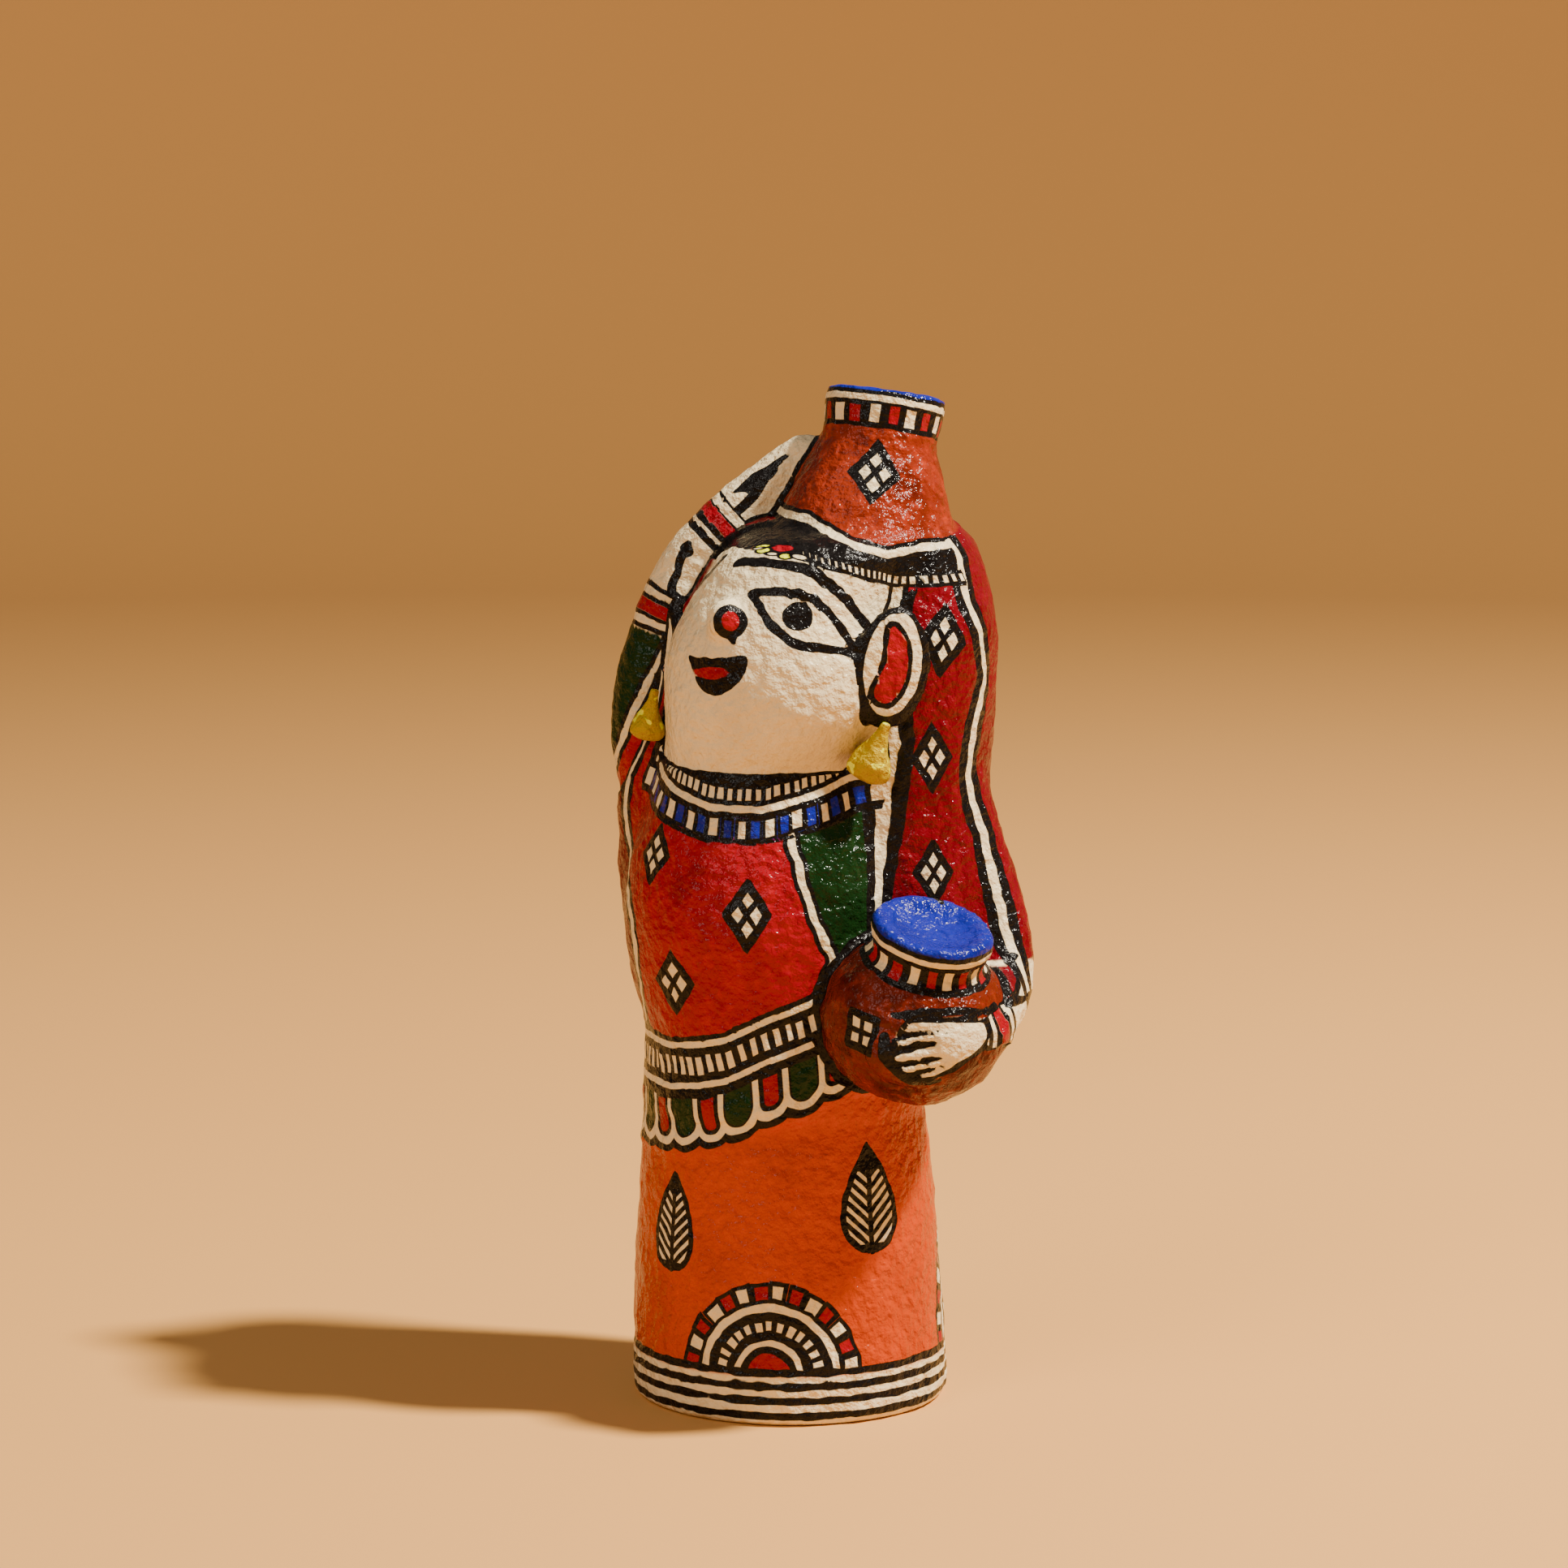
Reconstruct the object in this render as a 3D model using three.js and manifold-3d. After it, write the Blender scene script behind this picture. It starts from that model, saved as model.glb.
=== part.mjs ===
// A papier-mache figure of a woman with one water pot on her head and another on her left arm.
// Millimetres, +Z up. The origin is the centre of the base's underside; she faces -Y and her left is +X.
import * as THREE from "three";
import { mergeVertices } from "three/addons/utils/BufferGeometryUtils.js";
import Module from "manifold-3d";

const wasm = await Module();
wasm.setup();

const degree = Math.PI / 180;

// ---- Driving sizes ----

// A level of a moulded form: its height, its centre, its half widths across and deep, and how square it is.
const level = (z, x, y, across, deep, square = 2) => ({ z, x, y, across, deep, square });

const skirt = {
  levels: [
    level(0, 0, 0, 38.4, 38.4),
    level(2.5, 0, 0, 39.8, 39.8),
    level(14, -0.3, 0, 39.6, 39.6),
    level(32, -0.8, 0, 38.6, 38.2),
    level(54, -1.2, 0, 36.8, 36),
    level(70, -1.4, 0, 35.4, 35),
    level(86, -1.2, 0, 32.4, 33),
    level(100, -1, 0, 31.5, 31.5),
  ],
  segments: 44,
  rings: 9,
};

// The chest and the front of the shawl, up to the neck.
const chest = {
  levels: [
    level(80, -1, -1, 32.6, 34),
    level(92, -1.6, -2, 32.4, 33.5),
    level(106, -3.2, -3, 35, 33.5),
    level(120, -4.2, -4, 35.6, 34),
    level(134, -4.8, -4, 33.5, 31.5),
    level(146, -5, -4, 29.5, 28.5),
    level(156, -5, -4, 26, 26),
    level(163, -5, -3, 23, 23),
  ],
  segments: 40,
  rings: 9,
};

// The cloak falls from the crown over both shoulders and down the back to the waist.
const cloak = {
  levels: [
    level(70, -1.2, 0.5, 29, 29),
    level(75, -1.2, 1, 33, 34),
    level(80, -1, 1.5, 34, 35),
    level(98, 2.5, 5, 39.5, 33.5, 2.2),
    level(110, 2.8, 8, 45.5, 31, 2.4),
    level(127, 1.6, 11, 48.4, 27, 2.8),
    level(150, 0, 11.5, 46.3, 26, 2.8),
    level(170, 3.6, 12.5, 43.2, 26, 2.6),
    level(190, 6.5, 14, 41, 26, 2.5),
    level(203, 8, 16, 36.5, 25, 2.3),
    level(217, 10, 18, 27.5, 25, 2.2),
  ],
  crownHeight: 8,
  segments: 52,
  rings: 22,
};

const head = {
  turn: -17 * degree,
  levels: [
    level(146, -5.4, -2, 21.5, 22),
    level(157, -5, -3.5, 24, 25),
    level(166, -1.6, -4, 28.4, 28.6),
    level(174, 0.6, -4, 30.6, 31),
    level(182, 1, -4, 30.8, 31),
    level(191, 1, -4, 28.6, 29),
    level(201, 3, -2.5, 25.8, 26),
    level(214, 9, 4, 24, 25),
  ],
  crownHeight: 9,
  segments: 36,
  rings: 12,
};

const nose = { height: 196, out: 28, half: [4.2, 4.6, 5.4] };

const ear = {
  height: 185,
  out: 32,
  round: 82 * degree, // from the middle of the face
  flare: 30 * degree, // how far the flap turns to the front
  lean: 10 * degree,
  half: [8.8, 2.6, 15.2],
};

// Both pots are turned forms: [radius, height] from the foot to the dished mouth.
const headPot = {
  foot: [14, 12, 203],
  lean: [0.09, 0.19, 1],
  outline: [
    [24, -6],
    [24.6, 2],
    [24, 8],
    [21.5, 17],
    [17.6, 26],
    [14.8, 33],
    [14.3, 37],
    [15, 44],
    [14.2, 46.6],
    [10, 46.4],
    [5, 45],
  ],
  floor: 44.6,
  segments: 28,
};

const armPot = {
  foot: [34.4, -16, 83.6],
  lean: [0.28, -0.23, 0.93],
  outline: [
    [9, 0],
    [16, 3],
    [21.2, 9],
    [23.2, 17],
    [22, 25],
    [18, 31],
    [14.2, 34],
    [13.6, 36],
    [15, 41.5],
    [14.6, 43.6],
    [11.5, 43.2],
    [6, 41.6],
  ],
  floor: 41,
  segments: 28,
};

// A limb: a bent bar through its joints, each with its place and its half thickness.
const rightArm = {
  joints: [
    [-34, 6, 140, 9.5],
    [-40, 7, 163, 10.5],
    [-37.5, 8, 184, 9.8],
    [-31, 9.5, 202, 9],
    [-20.5, 12, 216, 8],
    [-10, 15, 226, 6.8],
    [-2.5, 18, 233, 5.2],
  ],
  segments: 14,
  rings: 15,
};

const leftArm = {
  joints: [
    [38, 10, 150, 9],
    [44, 11, 133, 9.5],
    [50, 9, 118, 9],
    [54, 3, 107.5, 7.6],
    [57, -9, 102, 6.4],
    [57, -21, 98.5, 5.4],
    [52, -31.5, 95.5, 5],
    [44, -38, 93.5, 3.6],
  ],
  segments: 14,
  rings: 17,
};

// The palm and fingers lie flat on the pot's front.
const hand = { centre: [46.5, -36, 94.5], half: [13.5, 5.5, 8.4], turn: [-4 * degree, 36 * degree] };

const earring = {
  // Its profile hangs from the top at zero: [radius, height].
  outline: [
    [1.3, -0.4],
    [1.8, -3.5],
    [3.4, -7.5],
    [5.3, -11.5],
    [5, -14.5],
    [2.6, -16],
  ],
  segments: 14,
  left: { top: [31.4, -20.6, 172.1], lean: [24 * degree, 8 * degree], size: 1 },
  right: { top: [-31.7, -11.6, 176.9], lean: [14 * degree, 4 * degree], size: 0.84 },
};

// ---- Shape helpers ----

// The section of a moulded form at any height, on a smooth curve through its levels.
function sectionAt(levels, z) {
  let k = 0;
  while (k < levels.length - 2 && z > levels[k + 1].z) k++;
  const [a, b] = [levels[k], levels[k + 1]];
  const [before, after] = [levels[k - 1] ?? a, levels[k + 2] ?? b];
  const span = b.z - a.z;
  const t = (z - a.z) / span;
  const value = (key) => {
    const startSlope = ((b[key] - before[key]) / (b.z - before.z)) * span;
    const endSlope = ((after[key] - a[key]) / (after.z - a.z)) * span;
    return (
      (2 * t ** 3 - 3 * t ** 2 + 1) * a[key] +
      (t ** 3 - 2 * t ** 2 + t) * startSlope +
      (3 * t ** 2 - 2 * t ** 3) * b[key] +
      (t ** 3 - t ** 2) * endSlope
    );
  };
  return { x: value("x"), y: value("y"), across: value("across"), deep: value("deep"), square: value("square") };
}

// A closed turned form about Z, from [radius, height] points that start and end on the axis.
function turned(outline, segments) {
  const points = outline.map(([r, z]) => new THREE.Vector2(r, z));
  return new THREE.LatheGeometry(points, segments).rotateX(Math.PI / 2);
}

function movePoints(geometry, move) {
  const position = geometry.getAttribute("position");
  const p = new THREE.Vector3();
  for (let i = 0; i < position.count; i++) {
    p.fromBufferAttribute(position, i);
    move(p);
    position.setXYZ(i, p.x, p.y, p.z);
  }
  return geometry;
}

// A moulded form: a turned bar whose every ring takes the section of its height. A crown rounds off its top.
function moulded({ levels, segments, rings, crownHeight = 0 }) {
  const bottom = levels[0].z;
  const top = levels[levels.length - 1].z;
  const heights = Array.from({ length: rings + 1 }, (_, k) => {
    const t = k / rings;
    return bottom + (top - bottom) * (crownHeight ? 1 - (1 - t) ** 1.35 : t);
  });
  const closeness = (z) => Math.sqrt(Math.max(0, 1 - Math.max(0, (z - top + crownHeight) / crownHeight) ** 2));
  const width = (z) => (crownHeight ? closeness(z) : 1);
  const wall = heights.filter((z) => width(z) > 0.05).map((z) => [width(z), z]);
  const outline = [[0, bottom], ...wall, [0, top]];
  return movePoints(turned(outline, segments), (p) => {
    const s = sectionAt(levels, p.z);
    const radius = Math.hypot(p.x, p.y);
    if (radius < 1e-6) {
      p.set(s.x, s.y, p.z);
      return;
    }
    const [c, d] = [p.x / radius, p.y / radius];
    const squareness = 2 / s.square;
    p.x = s.x + s.across * radius * Math.sign(c) * Math.abs(c) ** squareness;
    p.y = s.y + s.deep * radius * Math.sign(d) * Math.abs(d) ** squareness;
  });
}

// A limb: a turned bar bent along a smooth curve through its joints, round at both ends.
function limb({ joints, segments, rings }) {
  const line = new THREE.CatmullRomCurve3(joints.map(([x, y, z]) => new THREE.Vector3(x, y, z)));
  const thickness = new THREE.SplineCurve(joints.map(([, , , r], k) => new THREE.Vector2(k, r)));
  const outline = [[0, 0]];
  for (let k = 0; k <= rings; k++) outline.push([1, k / rings]);
  outline.push([0, 1]);
  const frames = line.computeFrenetFrames(rings, false);
  return movePoints(turned(outline, segments), (p) => {
    const t = THREE.MathUtils.clamp(p.z, 0, 1);
    const ring = Math.round(t * rings);
    const at = line.getPoint(t);
    const radius = thickness.getPoint(t).y;
    const isTip = Math.hypot(p.x, p.y) < 1e-6;
    const along = isTip ? 0.7 * radius * (t < 0.5 ? -1 : 1) : 0;
    at.addScaledVector(frames.normals[ring], p.x * radius);
    at.addScaledVector(frames.binormals[ring], p.y * radius);
    at.addScaledVector(frames.tangents[ring], along);
    p.copy(at);
  });
}

// Stands a form up along a leaning line, with its own zero at the foot.
function stand(geometry, foot, lean) {
  const turn = new THREE.Quaternion().setFromUnitVectors(
    new THREE.Vector3(0, 0, 1),
    new THREE.Vector3(...lean).normalize(),
  );
  return geometry.applyQuaternion(turn).translate(...foot);
}

function solid(geometry) {
  const bare = geometry.clone();
  bare.deleteAttribute("normal");
  bare.deleteAttribute("uv");
  const merged = mergeVertices(bare, 1e-3);
  const made = new wasm.Manifold(
    new wasm.Mesh({
      numProp: 3,
      vertProperties: merged.getAttribute("position").array,
      triVerts: new Uint32Array(merged.index.array),
    }),
  );
  return made;
}

function geometryOf(manifold) {
  const { vertProperties, triVerts } = manifold.getMesh();
  return new THREE.BufferGeometry()
    .setAttribute("position", new THREE.BufferAttribute(vertProperties, 3))
    .setIndex(new THREE.BufferAttribute(triVerts, 1));
}

// ---- The pieces ----

function potForm({ foot, lean, outline, floor, segments }) {
  return stand(turned([[0, outline[0][1]], ...outline, [0, floor]], segments), foot, lean);
}

// A spot of the head: out from its middle, round from the middle of the face towards her left.
function onHead(round, out, height) {
  const centre = sectionAt(head.levels, height);
  const angle = head.turn + round;
  return [centre.x + out * Math.sin(angle), centre.y - out * Math.cos(angle), height];
}

function noseForm() {
  return new THREE.SphereGeometry(1, 12, 8)
    .scale(...nose.half)
    .rotateZ(head.turn)
    .translate(...onHead(0, nose.out, nose.height));
}

function earForm(side) {
  return new THREE.SphereGeometry(1, 18, 12)
    .rotateX(Math.PI / 2)
    .scale(...ear.half)
    .rotateY(side * ear.lean)
    .rotateZ(head.turn + side * (ear.round - ear.flare))
    .translate(...onHead(side * ear.round, ear.out, ear.height));
}

function handForm() {
  return new THREE.SphereGeometry(1, 16, 10)
    .scale(...hand.half)
    .rotateY(hand.turn[0])
    .rotateZ(hand.turn[1])
    .translate(...hand.centre);
}

function earringForm({ top, lean, size }) {
  const { outline, segments } = earring;
  const closed = [[0, outline[outline.length - 1][1] - 0.4], ...outline.toReversed(), [0, 0]];
  return turned(closed, segments)
    .scale(size, size, size)
    .rotateY(lean[0])
    .rotateX(lean[1])
    .translate(...top);
}

const figureForms = [
  moulded(skirt),
  moulded(chest),
  moulded(cloak),
  moulded(head),
  noseForm(),
  earForm(1),
  earForm(-1),
  potForm(headPot),
  potForm(armPot),
  limb(rightArm),
  limb(leftArm),
  handForm(),
];

const figure = figureForms.map(solid).reduce((whole, form) => whole.add(form));

const earrings = { earring_left: earringForm(earring.left), earring_right: earringForm(earring.right) };

// ---- The finished object ----

const paintedPaper = new THREE.MeshStandardMaterial({ color: 0xb3201f, roughness: 0.5, metalness: 0 });
const yellowPaint = new THREE.MeshStandardMaterial({ color: 0xe5c21a, roughness: 0.5, metalness: 0 });

const object = new THREE.Group();

const body = new THREE.Mesh(geometryOf(figure), paintedPaper);
body.name = "figure";
object.add(body);

for (const [name, form] of Object.entries(earrings)) {
  const drop = new THREE.Mesh(form, yellowPaint);
  drop.name = name;
  object.add(drop);
}

export default object;
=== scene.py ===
import math

import bpy
import numpy as np
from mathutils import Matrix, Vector
from mathutils.kdtree import KDTree


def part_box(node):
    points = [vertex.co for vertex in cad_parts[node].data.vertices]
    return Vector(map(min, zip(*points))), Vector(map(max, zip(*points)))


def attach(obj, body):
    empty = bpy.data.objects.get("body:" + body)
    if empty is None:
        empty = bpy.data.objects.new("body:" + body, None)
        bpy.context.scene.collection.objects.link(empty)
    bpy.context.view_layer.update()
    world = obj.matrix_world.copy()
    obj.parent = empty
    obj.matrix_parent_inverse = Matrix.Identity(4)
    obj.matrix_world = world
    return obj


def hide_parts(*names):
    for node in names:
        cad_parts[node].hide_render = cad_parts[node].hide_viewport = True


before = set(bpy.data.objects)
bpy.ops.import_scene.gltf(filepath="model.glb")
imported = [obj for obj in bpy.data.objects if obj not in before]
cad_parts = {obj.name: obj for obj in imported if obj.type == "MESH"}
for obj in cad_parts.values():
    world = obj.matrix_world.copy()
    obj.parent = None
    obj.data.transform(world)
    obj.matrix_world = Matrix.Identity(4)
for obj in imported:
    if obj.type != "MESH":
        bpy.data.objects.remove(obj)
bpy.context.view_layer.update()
print("frame loaded")

# Shapes are worked out in millimetres in the part's frame, then scaled to metres.
metre = 1000.0
# She faces -Y, her left is +X, and the base stands on z = 0.

# Each level of a moulded form: height, centre x, centre y, half width across, half width deep, squareness.
skirt = {
    "levels": [
        (0, 0, 0, 39.2, 39.2, 2),
        (3, 0, 0, 39.9, 39.9, 2),
        (14, -0.3, 0, 39.6, 39.6, 2),
        (32, -0.8, 0, 38.6, 38.2, 2),
        (54, -1.2, 0, 37.2, 36.4, 2),
        (70, -1.4, 0, 35.4, 35, 2),
        (86, -1.2, 0, 32.4, 33, 2),
        (100, -1, 0, 31.5, 31.5, 2),
    ],
    "soft": 2.5,
}
chest = {
    "levels": [
        (76, -1, -1, 32.4, 34, 2),
        (92, -1.6, -2, 32.6, 33.8, 2),
        (106, -3.2, -3, 35, 33.8, 2),
        (120, -4.2, -4, 35.8, 34.2, 2),
        (134, -4.8, -4, 34, 32, 2),
        (146, -5, -4, 29.8, 28.7, 2),
        (156, -5, -4, 26, 26, 2),
        (163, -5, -3, 23, 23, 2),
    ],
    "soft": 2,
}
cloak = {
    "levels": [
        (70, -1.2, 0.5, 29, 29, 2),
        (75, -1.2, 1, 33, 34, 2),
        (80, -1, 1.5, 34, 35, 2),
        (98, 2.5, 5, 39.5, 33.5, 2.2),
        (110, 2.8, 8, 45.5, 31, 2.4),
        (127, 1.6, 11, 48.4, 27, 2.8),
        (150, 0, 11.5, 46.3, 26, 2.8),
        (170, 3.6, 12.5, 43.2, 26, 2.6),
        (190, 6.5, 14, 41, 26, 2.5),
        (203, 8, 16, 36.5, 25, 2.3),
        (217, 10, 18, 29, 25, 2.2),
    ],
    "soft": 9,
}
head = {
    "levels": [
        (146, -5.4, -2, 21.5, 22, 2),
        (157, -5, -3.5, 24, 25, 2),
        (166, -1.6, -4, 28.4, 28.6, 2),
        (174, 0.6, -4, 30.6, 31, 2),
        (182, 1, -4, 30.8, 31, 2),
        (191, 1, -4, 28.6, 29, 2),
        (201, 3, -2.5, 25.8, 26, 2),
        (216, 10, 5, 25, 25, 2),
    ],
    "soft": 9,
    "turn": math.radians(-17),
}
nose = {"height": 196, "out": 27.5, "half": (4.2, 4.6, 5.2)}
ear = {
    "height": 185, "out": 32, "round": 82, "flare": 30, "lean": 10, "back": 2.6, "half": (9.7, 2.8, 15.2),
    "oval": (-0.4, 0.95, 7.3, 12.6),  # the painted rim: its middle, half width and half height
}

# A pot is a turned form that leans: (radius, height) from the foot to the dished mouth.
headPot = {
    "foot": (14, 12, 203),
    "lean": (0.09, 0.19, 1),
    "outline": [
        (0, -6), (24, -6), (25, 1), (24.4, 7), (21.8, 16), (17.8, 26), (14.9, 33), (14.4, 37.5),
        (15.2, 43.5), (14.6, 46.6), (12, 46.9), (9, 45.6), (0, 45),
    ],
}
armPot = {
    "foot": (34.4, -16, 83.6),
    "lean": (0.28, -0.23, 0.93),
    "outline": [
        (0, 0), (9, 0), (16, 2.6), (21.3, 9), (23.3, 17), (22, 25), (18, 31), (14.4, 34.3),
        (13.8, 36), (15.2, 41), (14.6, 43.6), (12, 43.8), (9, 42), (0, 41),
    ],
}

# A limb is a bent bar: each joint has its place and its half thickness.
rightArm = [
    (-34, 6, 140, 9.5), (-40, 7, 163, 10.5), (-37.5, 8, 184, 9.8), (-31, 9.5, 202, 9),
    (-20.5, 12, 216, 8), (-10, 15, 226, 6.8), (-2.5, 17, 233, 5.6),
]
leftArm = [
    (38, 10, 150, 9), (44, 11, 133, 9.5), (50, 9, 118, 9), (54, 3, 107.5, 7.8),
    (57, -9, 102, 6.6), (57, -21, 98.5, 5.6), (52, -31.5, 95.5, 5),
]
# The palm and fingers lie flat on the pot's front.
palm = {"centre": (46.5, -36, 94.5), "half": (13.5, 5.6, 8.4), "turn": 36, "lean": 4}


def sectionAt(levels, z):
    table = np.array(levels, float)
    k = np.clip(np.searchsorted(table[:, 0], z, "right") - 1, 0, len(table) - 2)
    a, b = table[k], table[k + 1]
    before, after = table[np.maximum(k - 1, 0)], table[np.minimum(k + 2, len(table) - 1)]
    span = (b - a)[:, :1]
    t = np.clip((z - a[:, 0]) / span[:, 0], 0, 1)[:, None]
    start = (b - before) / (b - before)[:, :1] * span
    end = (after - a) / (after - a)[:, :1] * span
    s = (
        (2 * t**3 - 3 * t**2 + 1) * a + (t**3 - 2 * t**2 + t) * start
        + (3 * t**2 - 2 * t**3) * b + (t**3 - t**2) * end
    )
    return s[:, 1:].T


def softMin(a, b, k):
    h = np.maximum(k - abs(a - b), 0) / k
    return np.minimum(a, b) - h * h * k / 4


def softMax(a, b, k):
    return -softMin(-a, -b, k)


def mouldedDistance(p, levels, soft, **rest):
    z = p[:, 2]
    bottom, top = levels[0][0], levels[-1][0]
    x, y, across, deep, square = sectionAt(levels, z)
    dx, dy = abs(p[:, 0] - x), abs(p[:, 1] - y)
    radius = np.hypot(dx, dy) + 1e-6
    share = ((dx / across) ** square + (dy / deep) ** square) ** (1 / square) + 1e-9
    side = radius - radius / share
    return softMax(softMax(side, z - top, soft), bottom - z, min(soft, 2))


def turnedAxes(lean):
    up = np.array(lean, float) / np.linalg.norm(lean)
    side = np.cross((0, 1, 0), up)
    side /= np.linalg.norm(side)
    return np.array([side, np.cross(up, side), up])


def segmentShare(p, a, b):
    return np.clip(((p - a) @ (b - a)) / ((b - a) @ (b - a)), 0, 1)


def potDistance(p, foot, lean, outline):
    local = (p - foot) @ turnedAxes(lean).T
    q = np.stack([np.hypot(local[:, 0], local[:, 1]), local[:, 2]], 1)
    corners = np.array(outline, float)
    nearest = np.full(len(q), 1e9)
    inside = np.zeros(len(q), bool)
    for a, b in zip(corners[:-1], corners[1:]):
        t = segmentShare(q, a, b)[:, None]
        nearest = np.minimum(nearest, np.linalg.norm(q - a - t * (b - a), axis=1))
        crossing = (a[1] > q[:, 1]) != (b[1] > q[:, 1])
        if a[1] != b[1]:
            inside ^= crossing & (q[:, 0] < a[0] + (q[:, 1] - a[1]) / (b[1] - a[1]) * (b[0] - a[0]))
    return np.where(inside, -nearest, nearest)


def smoothLine(joints, steps=6):
    points = np.array(joints, float)
    ends = np.vstack([2 * points[0] - points[1], points, 2 * points[-1] - points[-2]])
    line = []
    for k in range(1, len(ends) - 2):
        a, b, c, d = ends[k - 1 : k + 3]
        for t in np.arange(steps) / steps:
            bend, twist = 2 * a - 5 * b + 4 * c - d, 3 * b - a - 3 * c + d
            line.append(0.5 * (2 * b + (c - a) * t + bend * t**2 + twist * t**3))
    return np.array(line + [points[-1]])


# Distance to a limb's skin, and how far along the limb each point is.
def limbDistance(p, joints):
    line = smoothLine(joints)
    lengths = np.r_[0, np.cumsum(np.linalg.norm(np.diff(line[:, :3], axis=0), axis=1))]
    nearest, along = np.full(len(p), 1e9), np.zeros(len(p))
    for k in range(len(line) - 1):
        a, b = line[k], line[k + 1]
        t = segmentShare(p, a[:3], b[:3])
        distance = np.linalg.norm(p - a[:3] - t[:, None] * (b - a)[:3], axis=1) - a[3] - t * (b[3] - a[3])
        closer = distance < nearest
        nearest = np.where(closer, distance, nearest)
        along = np.where(closer, lengths[k] + t * (lengths[k + 1] - lengths[k]), along)
    return nearest, along


# Axes of a flap or lump: turned about the upright, after a lean in its own plane.
def lumpAxes(turn, lean=0):
    c, s = math.cos(turn), math.sin(turn)
    l, m = math.cos(lean), math.sin(lean)
    return np.array([(l * c, l * s, -m), (-s, c, 0), (m * c, m * s, l)])


def lumpDistance(p, centre, half, axes):
    local = (p - centre) @ axes.T
    k0 = np.linalg.norm(local / half, axis=1) + 1e-9
    k1 = np.linalg.norm(local / np.square(half), axis=1) + 1e-9
    return k0 * (k0 - 1) / k1


# A place out from the head's middle, round from the middle of the face towards her left.
def onHead(round, out, height):
    x, y = sectionAt(head["levels"], np.array([height]))[:2, 0]
    angle = head["turn"] + round
    return np.array([x + out * math.sin(angle), y - out * math.cos(angle), height])


def earFrame(side):
    centre = onHead(side * math.radians(ear["round"]), ear["out"], ear["height"])
    turn = head["turn"] + side * math.radians(ear["round"] - ear["flare"])
    axes = lumpAxes(turn, side * math.radians(ear["lean"]))
    return centre + side * ear["back"] * axes[0], axes


def headDistance(p):
    skin = lumpDistance(p, onHead(0, nose["out"], nose["height"]), nose["half"], lumpAxes(head["turn"]))
    return softMin(mouldedDistance(p, **head), skin, 2.5)


def earDistance(p, side):
    centre, axes = earFrame(side)
    return lumpDistance(p, centre, ear["half"], axes)


def handDistance(p):
    axes = lumpAxes(math.radians(palm["turn"]), math.radians(palm["lean"]))
    return lumpDistance(p, palm["centre"], palm["half"], axes)


# Every form of the figure: how softly it joins the rest, the box it lies in, and its distance.
forms = {
    "skirt": (3, (-42, -42, -1), (42, 42, 102), lambda p: mouldedDistance(p, **skirt)),
    "chest": (4, (-42, -40, 75), (34, 32, 164), lambda p: mouldedDistance(p, **chest)),
    "cloak": (5, (-49, -32, 69), (52, 44, 218), lambda p: mouldedDistance(p, **cloak)),
    "head": (3, (-33, -44, 145), (38, 32, 217), headDistance),
    "leftEar": (2, (18, -26, 168), (44, 4, 202), lambda p: earDistance(p, 1)),
    "rightEar": (2, (-44, -16, 168), (-18, 14, 202), lambda p: earDistance(p, -1)),
    "headPot": (3.5, (-13, -15, 195), (42, 40, 254), lambda p: potDistance(p, **headPot)),
    "armPot": (3, (12, -48, 80), (66, 8, 132), lambda p: potDistance(p, **armPot)),
    "rightArm": (4, (-54, -6, 129), (5, 26, 240), lambda p: limbDistance(p, rightArm)[0]),
    "leftArm": (4, (27, -39, 88), (66, 22, 161), lambda p: limbDistance(p, leftArm)[0]),
    "hand": (1.4, (25, -52, 82), (62, -20, 108), handDistance),
}
farAway = 12.0


def formDistances(p):
    found = {}
    for name, (soft, low, high, distance) in forms.items():
        near = ((p > np.array(low) - farAway) & (p < np.array(high) + farAway)).all(axis=1)
        found[name] = np.full(len(p), farAway)
        found[name][near] = np.minimum(distance(p[near]), farAway)
    return found


def figureDistance(p):
    whole = None
    for name, distance in formDistances(p).items():
        whole = distance if whole is None else softMin(whole, distance, forms[name][0])
    return np.maximum(whole, -p[:, 2])


# The skin is a net of small quads over the place where the distance is zero.
net = {"pitch": 1.0, "low": (-56, -52, -2.5), "cells": (124, 100, 260)}


def placeOf(cells):
    return np.array(net["low"]) + cells * net["pitch"]


# Distances on the whole grid, worked out in full only near the skin.
def gridDistances():
    counts = net["cells"]
    values = np.full(counts, farAway, np.float32)
    near = np.ones([n // 4 for n in counts], bool)
    for step in (4, 2, 1):
        spots = np.argwhere(near) * step
        found = figureDistance(placeOf(spots))
        values[tuple(spots.T)] = found
        coarse = values[::step, ::step, ::step]
        if step > 1:
            for axis in range(3):
                coarse = np.repeat(coarse, 2, axis)
            half = step // 2
            values[::half, ::half, ::half] = coarse
            near = abs(coarse) < 2.2 * step * net["pitch"]
    return values


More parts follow.
